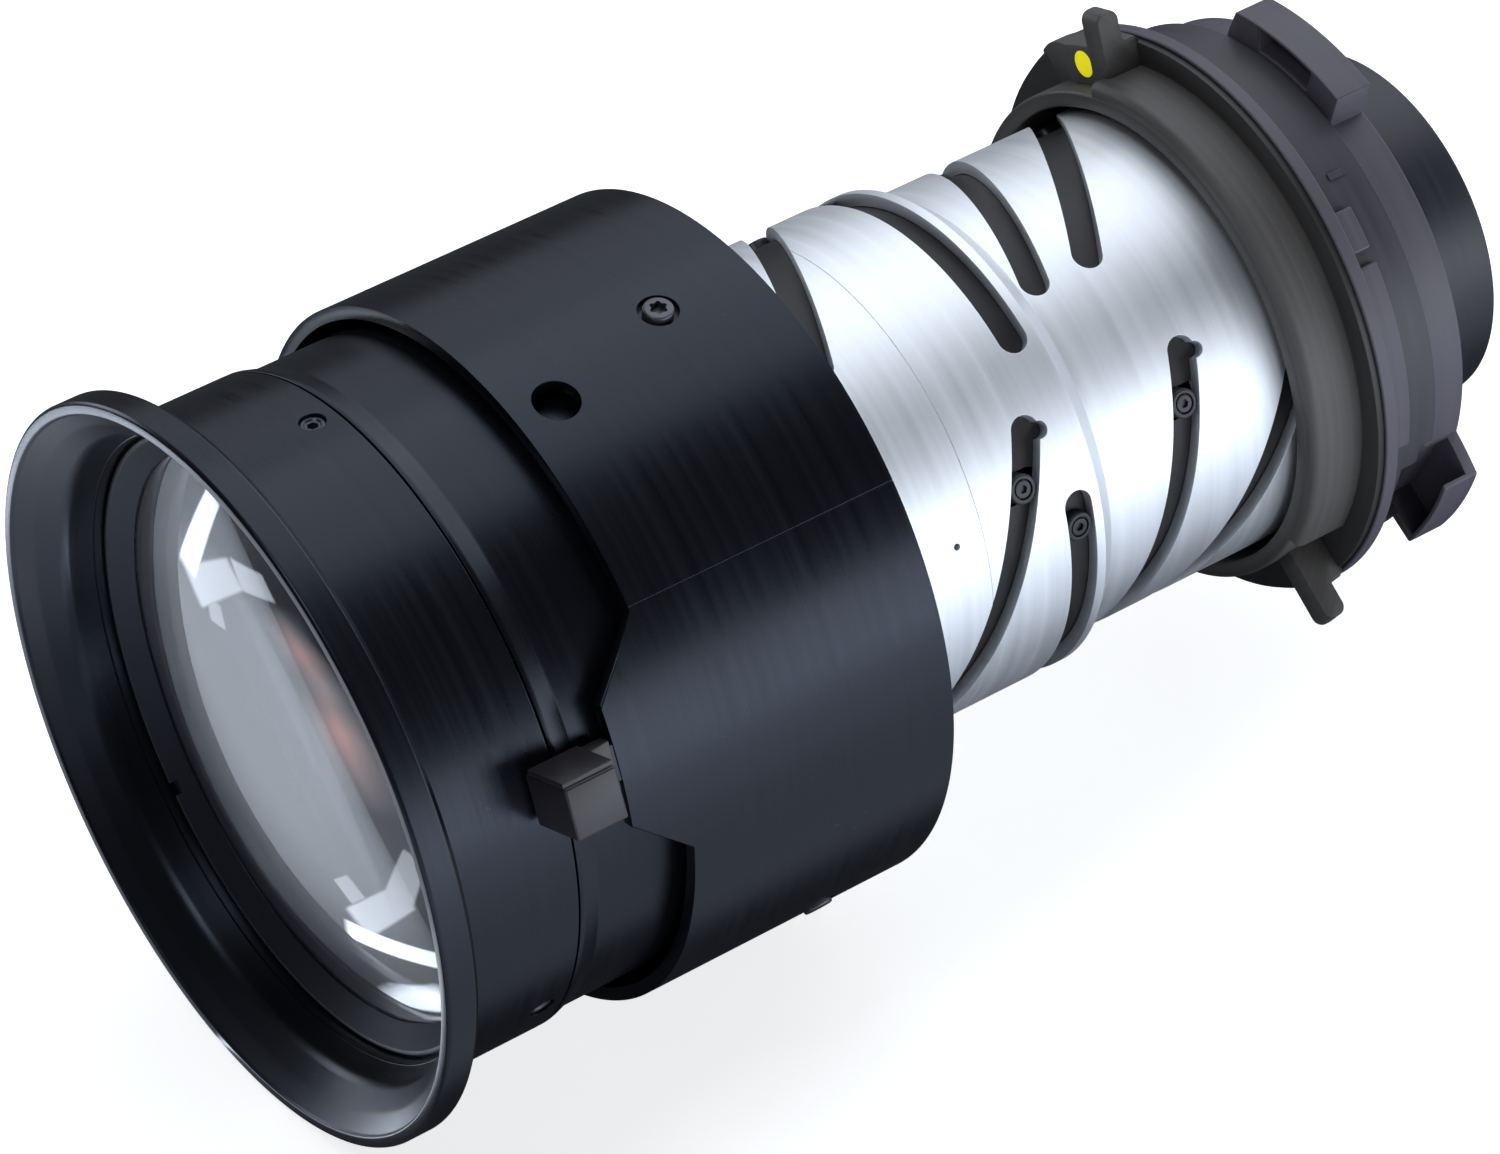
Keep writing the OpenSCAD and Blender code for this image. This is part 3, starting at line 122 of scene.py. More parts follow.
# The floor's height, and the lit cards on it that only the glass and the metal see, in metres:
# centre, half length, half width, turn in degrees and power.
FLOOR = -0.0558
WHITE_CARDS = (
    (-0.150, -0.232, 0.042, 0.0065, 45, 9.0),
    (-0.1225, -0.229, 0.028, 0.009, 72, 4.6),
    (-0.1295, -0.271, 0.017, 0.0095, 95, 4.6),
    (-0.106, -0.218, 0.0065, 0.0055, 20, 3.2),
    (0.005, -0.180, 0.0135, 0.0026, -25, 9.0),
    (0.0015, -0.211, 0.013, 0.0045, 88, 4.6),
    (-0.001, -0.190, 0.0125, 0.0045, 110, 4.6),
    (-0.0105, -0.188, 0.004, 0.0035, 20, 3.2),
)
PINK_CARDS = ((-0.088, -0.280, 0.030, 0.020, 9, 3.2), (-0.046, -0.258, 0.040, 0.018, 40, 4.0))

# Each softbox: its angle, its direction's share along the lens, distance, width, height and radiance.
SOFTBOXES = (
    ("softbox_over", -20, 0.44, 0.95, 0.83, 1.3, 1.68),
    ("softbox_left", -56, 0.44, 0.95, 0.30, 1.3, 0.92),
    ("softbox_low", -74, 0.44, 0.95, 0.24, 1.3, 0.55),
    ("softbox_side", 87, 0.44, 0.9, 0.525, 1.3, 3.0),
    ("softbox_front", -85, -0.27, 0.9, 0.4, 0.4, 3.0),
    ("softbox_top", 5, -0.52, 1.0, 0.3, 0.3, 5.0),
    ("softbox_rear", -30, 0.96, 1.3, 0.8, 0.8, 1.0),
)


# ---------------------------------------------------------------- settings


def rounding(name, description, default, most):
    return FloatProperty(
        name=name, description=description, default=default, min=0, max=most, unit="LENGTH", precision=5
    )


def swatch(name, description, default):
    return FloatVectorProperty(
        name=name, description=description, default=default, subtype="COLOR", min=0, max=1
    )


class LensSizes(PropertyGroup):
    steps: IntProperty(
        name="Steps", description="Segments round each turned barrel", default=240, min=48, max=480
    )
    edge: rounding("Edge", "Rounding of turned edges", 0.0002, 0.001)
    slot_edge: rounding("Slot edge", "Rounding of the edges of slots and holes", 0.00014, 0.0005)
    line_pitch: FloatProperty(
        name="Turning lines", description="Lines for each millimetre along the axis", default=5.0,
        min=0.5, max=20,
    )


class LensColours(PropertyGroup):
    black: swatch("Black", "Colour of the black anodised barrels", (0.0034, 0.0036, 0.0052))
    silver: swatch("Silver", "Colour of the turned cam barrel", (0.87, 0.89, 0.92))
    collar: swatch("Collar", "Colour of the brownish collar", (0.088, 0.082, 0.077))
    bayonet: swatch("Bayonet", "Colour of the blue-grey bayonet ring", (0.096, 0.088, 0.108))
    dot: swatch("Dot", "Colour of the index dot", (0.86, 0.78, 0.004))
    coating: swatch("Coating", "Tint of the inner element's coating", (0.92, 0.36, 0.33))


def sizes():
    return bpy.context.scene.lens_sizes


def colours():
    return bpy.context.scene.lens_colours


# ---------------------------------------------------------------- shapes
# Shapes are given in millimetres and held in metres. Barrels with slots are made flat, with x as
# the arc round the axis and z as the radius, and then bent round the axis.


def arc(degrees, radius):
    """The arc length of an angle at a radius."""
    return math.radians(degrees) * radius


def bevel(bm, geom, width, segments, affect="EDGES", clamp=False):
    """Rounds edges, or the corners of an outline."""
    bmesh.ops.bevel(
        bm, geom=geom, offset=width * MM, segments=segments, profile=0.5, affect=affect,
        material=-1, clamp_overlap=clamp,
    )


def revolve(bm, steps, axis=LENS_AXIS, weld=WELD):
    """Turns the outline in a bmesh once round an axis."""
    bmesh.ops.spin(
        bm, geom=bm.verts[:] + bm.edges[:], cent=(0, 0, 0), axis=axis, angle=TURN, steps=steps,
        use_merge=True, use_duplicate=False,
    )
    bmesh.ops.remove_doubles(bm, verts=bm.verts, dist=weld)
    bmesh.ops.recalc_face_normals(bm, faces=bm.faces)
    return bm


def outline(corners, point, closed=False, segments=3):
    """A line through corners (radius, station) or (radius, station, rounding)."""
    bm = bmesh.new()
    verts = [bm.verts.new(point(corner[0] * MM, corner[1] * MM)) for corner in corners]
    for a, b in zip(verts, verts[1:] + verts[:1] if closed else verts[1:]):
        bm.edges.new((a, b))
    for v, corner in zip(verts, corners):
        if len(corner) > 2 and corner[2] > 0:
            bevel(bm, [v], corner[2], segments, "VERTICES")
    return bm


def lathe(corners):
    """A barrel or ring turned about the lens axis."""
    return revolve(outline(corners, lambda r, y: (0, y, r), closed=True), sizes().steps)


def peg(corners, y):
    """A round piece that stands along +Z at station y, turned from corners (radius, height)."""
    bm = revolve(outline(corners, lambda r, z: (r, 0, z)), PEG_STEPS, (0, 0, 1))
    bmesh.ops.translate(bm, vec=(0, y * MM, 0), verts=bm.verts)
    return bm


def disc(corners, y, height):
    """A small disc that faces along the lens axis, at station y and a height above the axis."""
    bm = revolve(outline(corners, lambda r, s: (0, s, r), segments=2), DISC_STEPS)
    bmesh.ops.translate(bm, vec=Vector((0, y, height)) * MM, verts=bm.verts)
    return bm


def slab(x0, x1, y0, y1, z0, z1):
    """A flat block."""
    bm = bmesh.new()
    bmesh.ops.create_cube(bm, size=1)
    size = Vector((x1 - x0, y1 - y0, z1 - z0)) * MM
    middle = Vector((x0 + x1, y0 + y1, z0 + z1)) * MM / 2
    placing = Matrix.Translation(middle) @ Matrix.Diagonal((*size, 1))
    bmesh.ops.transform(bm, matrix=placing, verts=bm.verts)
    return bm


def extruded(bm, x, z):
    """Gives the flat outline in a bmesh a thickness along X or Z."""
    grown = bmesh.ops.extrude_face_region(bm, geom=bm.faces[:])
    far = [v for v in grown["geom"] if isinstance(v, bmesh.types.BMVert)]
    bmesh.ops.translate(bm, vec=(x * MM, 0, z * MM), verts=far)
    bmesh.ops.recalc_face_normals(bm, faces=bm.faces)
    return bm


def prism(points, z0, z1):
    """An upright prism over an outline of points (x, y)."""
    bm = bmesh.new()
    bm.faces.new([bm.verts.new((x * MM, y * MM, z0 * MM)) for x, y in points])
    return extruded(bm, 0, z1 - z0)


def plate(points, x0, x1):
    """A plate across X with an outline of points (station, height)."""
    bm = bmesh.new()
    bm.faces.new([bm.verts.new(Vector((x0, y, z)) * MM) for y, z in points])
    return extruded(bm, x1 - x0, 0)


def stadium(x0, y0, x1, y1, radius, z0, z1, segments=SLOT_STEPS):
    """An upright rounded slot between two centres."""
    bm = bmesh.new()
    along = Vector((x1 - x0, y1 - y0, 0))
    bmesh.ops.create_circle(bm, cap_ends=True, segments=segments, radius=radius * MM)
    half_step = Matrix.Rotation(math.pi / segments, 3, "Z")
    bmesh.ops.rotate(bm, cent=(0, 0, 0), matrix=half_step, verts=bm.verts)
    far = [v for v in bm.verts if v.co.x > 0]
    bmesh.ops.translate(bm, vec=(along.length * MM, 0, 0), verts=far)
    turn = Matrix.Rotation(math.atan2(along.y, along.x), 3, "Z")
    bmesh.ops.rotate(bm, cent=(0, 0, 0), matrix=turn, verts=bm.verts)
    bmesh.ops.translate(bm, vec=Vector((x0, y0, z0)) * MM, verts=bm.verts)
    return extruded(bm, 0, z1 - z0)


def hole(x, y, radius, z0, z1, segments=SLOT_STEPS):
    """An upright round cutter."""
    return stadium(x, y, x, y, radius, z0, z1, segments)


def socket_cutter(radius, z0, z1, y, lobe_depth=0.0):
    """A cutter along +Z at station y for a hexagon socket, or a star socket if its lobes have a depth."""
    bm = bmesh.new()
    sides = SOCKET_LOBES * 6 if lobe_depth else SOCKET_LOBES
    bmesh.ops.create_circle(bm, cap_ends=True, segments=sides, radius=radius * MM)
    for v in bm.verts:
        wave = 0.5 + 0.5 * math.cos(SOCKET_LOBES * math.atan2(v.co.y, v.co.x))
        v.co *= 1 - lobe_depth * wave
    extruded(bm, 0, z1 - z0)
    bmesh.ops.translate(bm, vec=(0, y * MM, z0 * MM), verts=bm.verts)
    return bm


def as_mesh(bm, name="work"):
    mesh = bpy.data.meshes.new(name)
    bm.to_mesh(mesh)
    bm.free()
    return mesh


def mesh_object(bm, name):
    obj = bpy.data.objects.new(name, as_mesh(bm, name))
    bpy.context.scene.collection.objects.link(obj)
    return obj


def joined(*parts):
    """Several bmeshes as one."""
    out = bmesh.new()
    for part in parts:
        mesh = as_mesh(part)
        out.from_mesh(mesh)
        bpy.data.meshes.remove(mesh)
    return out


def at_angle(bm, degrees, copies=1):
    """Turns a bmesh that was built at +Z to an angle, and repeats it evenly round the axis."""
    mesh = as_mesh(bm)
    out = bmesh.new()
    for i in range(copies):
        turned = mesh.copy()
        turned.transform(Matrix.Rotation(math.radians(degrees + 360 * i / copies), 4, "Y"))
        out.from_mesh(turned)
        bpy.data.meshes.remove(turned)
    bpy.data.meshes.remove(mesh)
    return out


def carved(target, cutters):
    """The bmesh target with the bmesh cutters taken away by an exact boolean."""
    base = mesh_object(target, "work")
    tool = mesh_object(joined(*cutters), "tools")
    modifier = base.modifiers.new("cut", "BOOLEAN")
    modifier.object = tool
    modifier.operation = "DIFFERENCE"
    modifier.solver = "EXACT"
    modifier.use_self = True
    graph = bpy.context.evaluated_depsgraph_get()
    result = bpy.data.meshes.new_from_object(base.evaluated_get(graph))
    bm = bmesh.new()
    bm.from_mesh(result)
    for obj in (base, tool):
        mesh = obj.data
        bpy.data.objects.remove(obj)
        bpy.data.meshes.remove(mesh)
    bpy.data.meshes.remove(result)
    bmesh.ops.remove_doubles(bm, verts=bm.verts, dist=WELD)
    bmesh.ops.dissolve_degenerate(bm, dist=WELD, edges=bm.edges)
    return bm


def in_plane(item, axis, place):
    """Does an edge or face lie in the plane across an axis (0 to 2) at a place in millimetres?"""
    return all(abs(v.co[axis] - place * MM) < WELD for v in item.verts)


def soften(bm, width=None, keep=None, least=40):
    """Bevels the edges sharper than `least` degrees, except those that keep() names."""
    sharp = [
        e for e in bm.edges
        if len(e.link_faces) == 2 and e.calc_face_angle(0) > math.radians(least) and not (keep and keep(e))
    ]
    bevel(bm, sharp, width or sizes().slot_edge / MM, 2, clamp=True)


def wrap(bm, radius, stations=(), radius_at=None):
    """Bends a flat bmesh round the axis, so that x becomes the arc at a radius.
    radius_at(y) shifts the radius by the barrel's own profile, whose corners are at the stations."""
    pitch = math.radians(WRAP_STEP) * radius * MM
    low = math.floor(min(v.co.x for v in bm.verts) / pitch) + 1
    high = math.ceil(max(v.co.x for v in bm.verts) / pitch)
    planes = [((i * pitch, 0, 0), (1, 0, 0)) for i in range(low, high)]
    planes += [((0, y * MM, 0), (0, 1, 0)) for y in stations]
    for place, normal in planes:
        geom = bm.verts[:] + bm.edges[:] + bm.faces[:]
        bmesh.ops.bisect_plane(bm, geom=geom, dist=WELD, plane_co=place, plane_no=normal)
    for v in bm.verts:
        a = v.co.x / (radius * MM)
        r = v.co.z + (radius_at(v.co.y / MM) * MM if radius_at else 0)
        v.co = (r * math.sin(a), v.co.y, r * math.cos(a))
    bmesh.ops.remove_doubles(bm, verts=bm.verts, dist=2 * WELD)


def roll(bm, radius, start, seams=(), stations=(), radius_at=None):
    """Softens a flat slab that is one full turn long, opens its two ends and bends it to a barrel.
    Edges at the stations `seams` stay sharp."""
    ends = (start, start + TURN * radius)

    def at_ends(item):
        return any(in_plane(item, 0, end) for end in ends)

    soften(bm, keep=lambda edge: at_ends(edge) or any(in_plane(edge, 1, y) for y in seams))
    bmesh.ops.delete(bm, geom=[f for f in bm.faces if at_ends(f)], context="FACES_ONLY")
    wrap(bm, radius, stations, radius_at)


def smooth(mesh):
    mesh.shade_smooth()
    mesh.set_sharp_from_angle(angle=math.radians(SHARP_ANGLE))


def round_normals(mesh):
    """Gives each corner on a turned surface the normal of the true surface, so that facets vanish."""
    end_face = 0.999  # a face with more of its normal along the axis lies across it
    off_round = 0.09  # a face with more of its normal round the axis is the wall of a slot
    broad_face = 0.0007  # a wider face isn't part of a rounded edge
    on_axis = 1e-6
    smooth(mesh)
    auto = [n.vector.copy() for n in mesh.corner_normals]
    out = list(auto)
    for poly in mesh.polygons:
        n, c = poly.normal, poly.center
        length = math.hypot(c.x, c.z)
        if length < on_axis or abs(n.y) > end_face:
            continue
        across = (n.x * c.z - n.z * c.x) / length
        if abs(across) > off_round:
            continue
        side = 1 if (n.x * c.x + n.z * c.z) > 0 else -1
        places = [mesh.vertices[i].co for i in poly.vertices]
        ys = [co.y for co in places]
        rs = [math.hypot(co.x, co.z) for co in places]
        broad = math.hypot(max(ys) - min(ys), max(rs) - min(rs)) > broad_face
        for i in poly.loop_indices:
            v = mesh.vertices[mesh.loops[i].vertex_index].co
            r = math.hypot(v.x, v.z)
            if r < on_axis:
                continue
            ny = n.y if broad else max(-1.0, min(1.0, auto[i].y))
            nr = math.sqrt(max(0.0, 1 - ny * ny)) * side
            out[i] = Vector((v.x / r * nr, ny, v.z / r * nr))
    mesh.normals_split_custom_set([tuple(v) for v in out])


def finish_piece(bm, name, material, body, node, turned=True):
    """Makes the bmesh a piece that rides on a body and stands for a CAD node."""
    obj = mesh_object(bm, name)
    obj.data.materials.append(material)
    (round_normals if turned else smooth)(obj.data)
    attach(obj, body)
    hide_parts(node)


# ---------------------------------------------------------------- finishes


class Shader:
    """A material or node group under construction."""

    def __init__(self, tree):
        self.tree = tree

    def add(self, kind, **values):
        node = self.tree.nodes.new(kind)
        for key, value in values.items():
            setattr(node, key, value)
        return node

    def feed(self, socket, value):
        """Links an output to a socket, or sets the socket to a number or a colour."""
        if hasattr(value, "links"):
            self.tree.links.new(value, socket)
        else:
            socket.default_value = (*value, 1) if hasattr(value, "__len__") else value

    def give(self, node, **values):
        """Feeds a node's inputs by their names, with _ for a space."""
        for name, value in values.items():
            self.feed(node.inputs[name.replace("_", " ")], value)

    def math(self, operation, *values):
        node = self.add("ShaderNodeMath", operation=operation)
        for socket, value in zip(node.inputs, values):
            self.feed(socket, value)
        return node.outputs[0]

    def product(self, a, b):
        return self.math("MULTIPLY", a, b)

    def hypot(self, a, b):
        return self.math("SQRT", self.math("ADD", self.product(a, a), self.product(b, b)))

    def place(self):
        """The three outputs of the object's own coordinates."""
        split = self.add("ShaderNodeSeparateXYZ")
        self.feed(split.inputs[0], self.add("ShaderNodeTexCoord").outputs["Object"])
        return split.outputs

    def noise(self, place, scale=1.0, detail=2.0, dimensions="3D"):
        node = self.add("ShaderNodeTexNoise", noise_dimensions=dimensions)
        self.feed(node.inputs["W" if dimensions == "1D" else "Vector"], place)
        self.give(node, Scale=scale, Detail=detail)
        return node.outputs["Fac"]

    def span(self, value, low, high, spread=(0.3, 0.7)):
        """A value that runs over the spread, stretched to run from low to high."""
        node = self.add("ShaderNodeMapRange")
        self.give(node, Value=value, From_Min=spread[0], From_Max=spread[1], To_Min=low, To_Max=high)
        return node.outputs[0]

    def between(self, factor, low, high):
        """A colour between two colours by a factor."""
        mix = self.add("ShaderNodeMix", data_type="RGBA")
        for socket, value in ((mix.inputs["Factor"], factor), (mix.inputs[6], low), (mix.inputs[7], high)):
            self.feed(socket, value)
        return mix.outputs[2]


def node_group(name, inputs, outputs, fill):
    """A node group by name, made once and filled by fill(shader, input node, output sockets)."""
    found = bpy.data.node_groups.get(name)
    if found:
        return found
    tree = bpy.data.node_groups.new(name, "ShaderNodeTree")
    for label in inputs:
        tree.interface.new_socket(name=label, in_out="INPUT", socket_type="NodeSocketFloat")
    for label in outputs:
        tree.interface.new_socket(name=label, in_out="OUTPUT", socket_type="NodeSocketFloat")
    s = Shader(tree)
    fill(s, s.add("NodeGroupInput").outputs, s.add("NodeGroupOutput").inputs)
    return tree


def fill_turning_lines(s, given, out):
    """Fine lines round the axis, on the barrels by station and on end faces by radius."""
    x, y, z = s.place()
    lines = s.product(s.math("ADD", y, s.hypot(x, z)), given["Pitch"])
    s.feed(out["Fine"], s.noise(lines, dimensions="1D"))
    s.feed(out["Broad"], s.noise(s.product(lines, BROAD_SHARE), detail=3.0, dimensions="1D"))


def turning_lines():
    return node_group("Turning lines", ["Pitch"], ["Fine", "Broad"], fill_turning_lines)


def fill_fine_grain(s, given, out):
    """A blasted or moulded grain, sparse dust specks and broad clouds."""
    place = s.add("ShaderNodeTexCoord").outputs["Object"]
    s.feed(out["Grain"], s.noise(place, GRAIN_SCALE))
    cells = s.add("ShaderNodeTexVoronoi")
    s.give(cells, Vector=place, Scale=GRAIN_SCALE * 0.16)
    near = s.math("LESS_THAN", cells.outputs["Distance"], 0.13)
    some = s.math("GREATER_THAN", s.noise(place, GRAIN_SCALE * 0.02), 0.7)
    s.feed(out["Specks"], s.product(near, some))
    s.feed(out["Cloud"], s.noise(place, GRAIN_SCALE * 0.008, 4.0))


def fine_grain():
    return node_group("Fine grain", [], ["Grain", "Specks", "Cloud"], fill_fine_grain)


def times(colour, k):
    return tuple(min(1.0, c * k) for c in colour)


def new_material(name):
    """A node material with its Shader and its principled node."""
    material = bpy.data.materials.new(name)
    material.use_nodes = True
    return material, Shader(material.node_tree), material.node_tree.nodes["Principled BSDF"]


def metal(name, colour, rough, metallic=0.0, lines=0.0, grain=0.0, contrast=0.25, dust=0.0,
          specular=0.5, pitch=None, rough_spread=0.06, sheen=(1, 1, 1), shade_radii=None,
          shade_stations=None, shade_strength=0.5):
    """A turned or blasted metal finish with fine lines, grain and dust. Painted shade darkens the colour from
    one range of stations to another, and within a range of radius if one is given, all in metres."""
    found = bpy.data.materials.get(name)
    if found:
        return found
    material, s, shader = new_material(name)
    material.diffuse_color = (*colour, 1)
    s.give(shader, Metallic=metallic, Specular_IOR_Level=specular, Specular_Tint=sheen)
    turned = s.add("ShaderNodeGroup", node_tree=turning_lines())
    turned.inputs["Pitch"].default_value = (pitch or sizes().line_pitch) * 1000
    grained = s.add("ShaderNodeGroup", node_tree=fine_grain())
    streak = s.math("ADD", s.product(turned.outputs["Broad"], 0.5 if lines else 0.0),
                    s.product(grained.outputs["Cloud"], 0.5 if lines else 1.0))
    low, high = times(colour, 1 - contrast), times(colour, 1 + contrast)
    tone = s.between(s.span(streak, 0, 1, (0.36, 0.64)), low, high)
    # Painted shade: between the given stations, and within the given radii, the colour is darkened towards a
    # near black.
    if shade_stations:
        x, y, z = s.place()
        shade_zone = s.product(s.span(y, 0, 1, shade_stations[0]), s.span(y, 1, 0, shade_stations[1]))
        if shade_radii:
            shade_zone = s.product(shade_zone, s.span(s.hypot(x, z), 1, 0, shade_radii))
        tone = s.between(s.product(shade_zone, shade_strength), tone, PAINTED_SHADE)
    if dust:
        tone = s.between(s.product(grained.outputs["Specks"], dust), tone, DUST)
    roughness = s.span(streak, rough - rough_spread, rough + rough_spread)
    height = s.math("ADD", s.product(turned.outputs["Fine"], lines),
                    s.product(grained.outputs["Grain"], grain))
    bump = s.add("ShaderNodeBump")
    s.give(bump, Strength=1.0, Distance=BUMP_DEPTH, Height=height)
    s.give(shader, Base_Color=tone, Roughness=roughness, Normal=bump.outputs["Normal"])
    return material


def black_anodised():
    return metal("Black anodised", colours().black, 0.3, lines=0.32, grain=0.3, dust=0.06,
                 specular=0.42, sheen=BLUISH)


def black_satin():
    return metal("Black satin", times(colours().black, 1.2), 0.42, lines=0.3, grain=0.4, specular=0.42,
                 sheen=BLUISH)


def guide_grey():
    return metal("Guide grey", (0.024, 0.021, 0.022), 0.45, lines=0.3, grain=0.4, specular=0.35)


def screw_black():
    return metal("Screw black", (0.035, 0.034, 0.04), 0.36, metallic=0.4, grain=0.5)


def retainer_black():
    return metal("Retainer black", (0.008, 0.008, 0.011), 0.4, lines=0.4, grain=0.3, specular=0.3,
                 sheen=BLUISH)


def spacer_grey():
    return metal("Spacer grey", (0.075, 0.07, 0.082), 0.42, lines=1.2, grain=0.3, contrast=0.3, pitch=1.2)


def rear_black():
    return metal("Rear black", (0.016, 0.016, 0.024), 0.42, lines=0.3, grain=0.4)


def silver_turned():
    return metal("Turned silver", colours().silver, 0.52, metallic=1.0, lines=0.45, grain=0.2,
                 contrast=0.07, rough_spread=0.05, pitch=4)


def collar_grey():
    """Brownish grey, with painted shade on the recessed plate behind the collar."""
    return metal("Collar grey", colours().collar, 0.5, lines=0.2, grain=0.5, contrast=0.2, dust=0.05,
                 shade_stations=((-0.0037, -0.0032), (0.01, 0.02)), shade_strength=0.72)


def bayonet_grey():
    """Blue-grey, with painted shade on the recessed body between the flange and the lugs."""
    return metal("Bayonet grey", colours().bayonet, 0.5, lines=0.12, grain=0.5, contrast=0.12, dust=0.05,
                 shade_radii=(0.0409, 0.0412), shade_stations=((0.0, 0.0003), (0.0100, 0.0103)))


def lever_black():
    return metal("Lever black", (0.024, 0.021, 0.025), 0.4, grain=0.5, contrast=0.15)


def steel_dark():
    return metal("Blackened steel", (0.09, 0.09, 0.105), 0.34, metallic=0.6, grain=0.5)


def roller_dark():
    return metal("Roller plastic", (0.014, 0.014, 0.017), 0.38, grain=0.3)


def glowing_dot_paint():
    material = metal("Glowing dot paint", colours().dot, 0.5, grain=0.4, contrast=0.06)
    tree = material.node_tree
    # The dot also glows by emission, a painted light that brightens it beyond what the lamps give.
    Shader(tree).give(tree.nodes["Principled BSDF"], Emission_Color=colours().dot, Emission_Strength=0.55)
    return material


def glass(name, tint, specular=(1, 1, 1), ior=1.52, level=0.5):
    found = bpy.data.materials.get(name)
    if found:
        return found
    material, s, shader = new_material(name)
    s.give(
        shader, Base_Color=tint, Metallic=0, Roughness=0, IOR=ior, Transmission_Weight=1,
        Specular_Tint=specular, Specular_IOR_Level=level,
    )
    return material


def clear_glass():
    return glass("Front glass", (0.97, 0.985, 1.0))


def coated_glass():
    return glass("Coated glass", (0.93, 0.96, 1.0), ior=1.62)


def pink_glass():
    return glass("Pink coated glass", (0.9, 0.93, 1.0), specular=colours().coating, ior=1.75, level=0.8)


# ---------------------------------------------------------------- operators


class LENS_OT_hood(Operator):
    """Build the flared hood and the focus ring with its set screws"""

    bl_idname = "lens.hood"
    bl_label = "Hood and Focus Ring"

    def execute(self, context):
        e = sizes().edge / MM
        hood = lathe([
            (53.75, RIM, 0.15), (55.1, RIM, 0.15), (HOOD_R, RIM + 0.4, 0.25), (HOOD_R, HOOD_STEP - 1.0, e),
            (54.5, HOOD_STEP, e), (FOCUS_R, HOOD_STEP), (FOCUS_R, FOCUS_FRONT), (48.2, FOCUS_FRONT),
            (48.2, FOCUS_FRONT + 2.8), (TUBE_R, FOCUS_FRONT + 2.8), (TUBE_R, FOCUS_FRONT + 1.2, 0.35),
            (48.4, HOOD_STEP, 0.8), (51.2, RIM + 2.5, 0.3), (53.5, RIM + 0.45, 0.15),
        ])
        finish_piece(hood, "hood_turned", black_anodised(), "focus", "hood")
        screw_y, first_screw = FOCUS_REAR - 3.6, -6.5
        start = arc(-60, FOCUS_R)
        ring = slab(start, start + TURN * FOCUS_R, FOCUS_FRONT, FOCUS_REAR, 47.2, FOCUS_R)
        ring = carved(ring, [
            hole(arc(first_screw + turn, FOCUS_R), screw_y, 1.9, 46, 51) for turn in THREE_TIMES
        ])
        roll(ring, FOCUS_R, start, seams=[FOCUS_FRONT])
        finish_piece(ring, "focus_ring_turned", black_anodised(), "focus", "focus_ring")
        screw = peg([
            (0, 47.4), (1.86, 47.4), (1.86, 49.2, 0.3), (1.35, 49.2, 0.05), (1.1, 48.9, 0.05), (0, 48.9),
        ], screw_y)
        screw = carved(screw, [socket_cutter(0.85, 48.0, 49.5, screw_y)])
        finish_piece(at_angle(screw, first_screw, 3), "focus_screws_fine", steel_dark(), "focus",
                     "focus_set_screws", turned=False)
        return {"FINISHED"}


class LENS_OT_tube(Operator):
    """Build the fixed tube between the focus ring and the zoom ring"""

    bl_idname = "lens.tube"
    bl_label = "Front Tube"

    def execute(self, context):
        e = sizes().edge / MM
        thread_front = TUBE_FRONT - 9.4
        tube = lathe([
            (44.6, thread_front), (46.6, thread_front), (TUBE_R, thread_front + 0.4), (TUBE_R, TUBE_FRONT),
            (49.6, TUBE_FRONT, 0.08), (FOCUS_R, TUBE_FRONT + 0.6, e), (48.75, TUBE_FRONT + 3.6, e),
            (48.75, TUBE_REAR), (32.5, TUBE_REAR), (32.5, TUBE_REAR - 4), (44.6, TUBE_REAR - 4),
        ])
        finish_piece(tube, "front_tube_turned", black_anodised(), "mount", "front_tube")
        return {"FINISHED"}


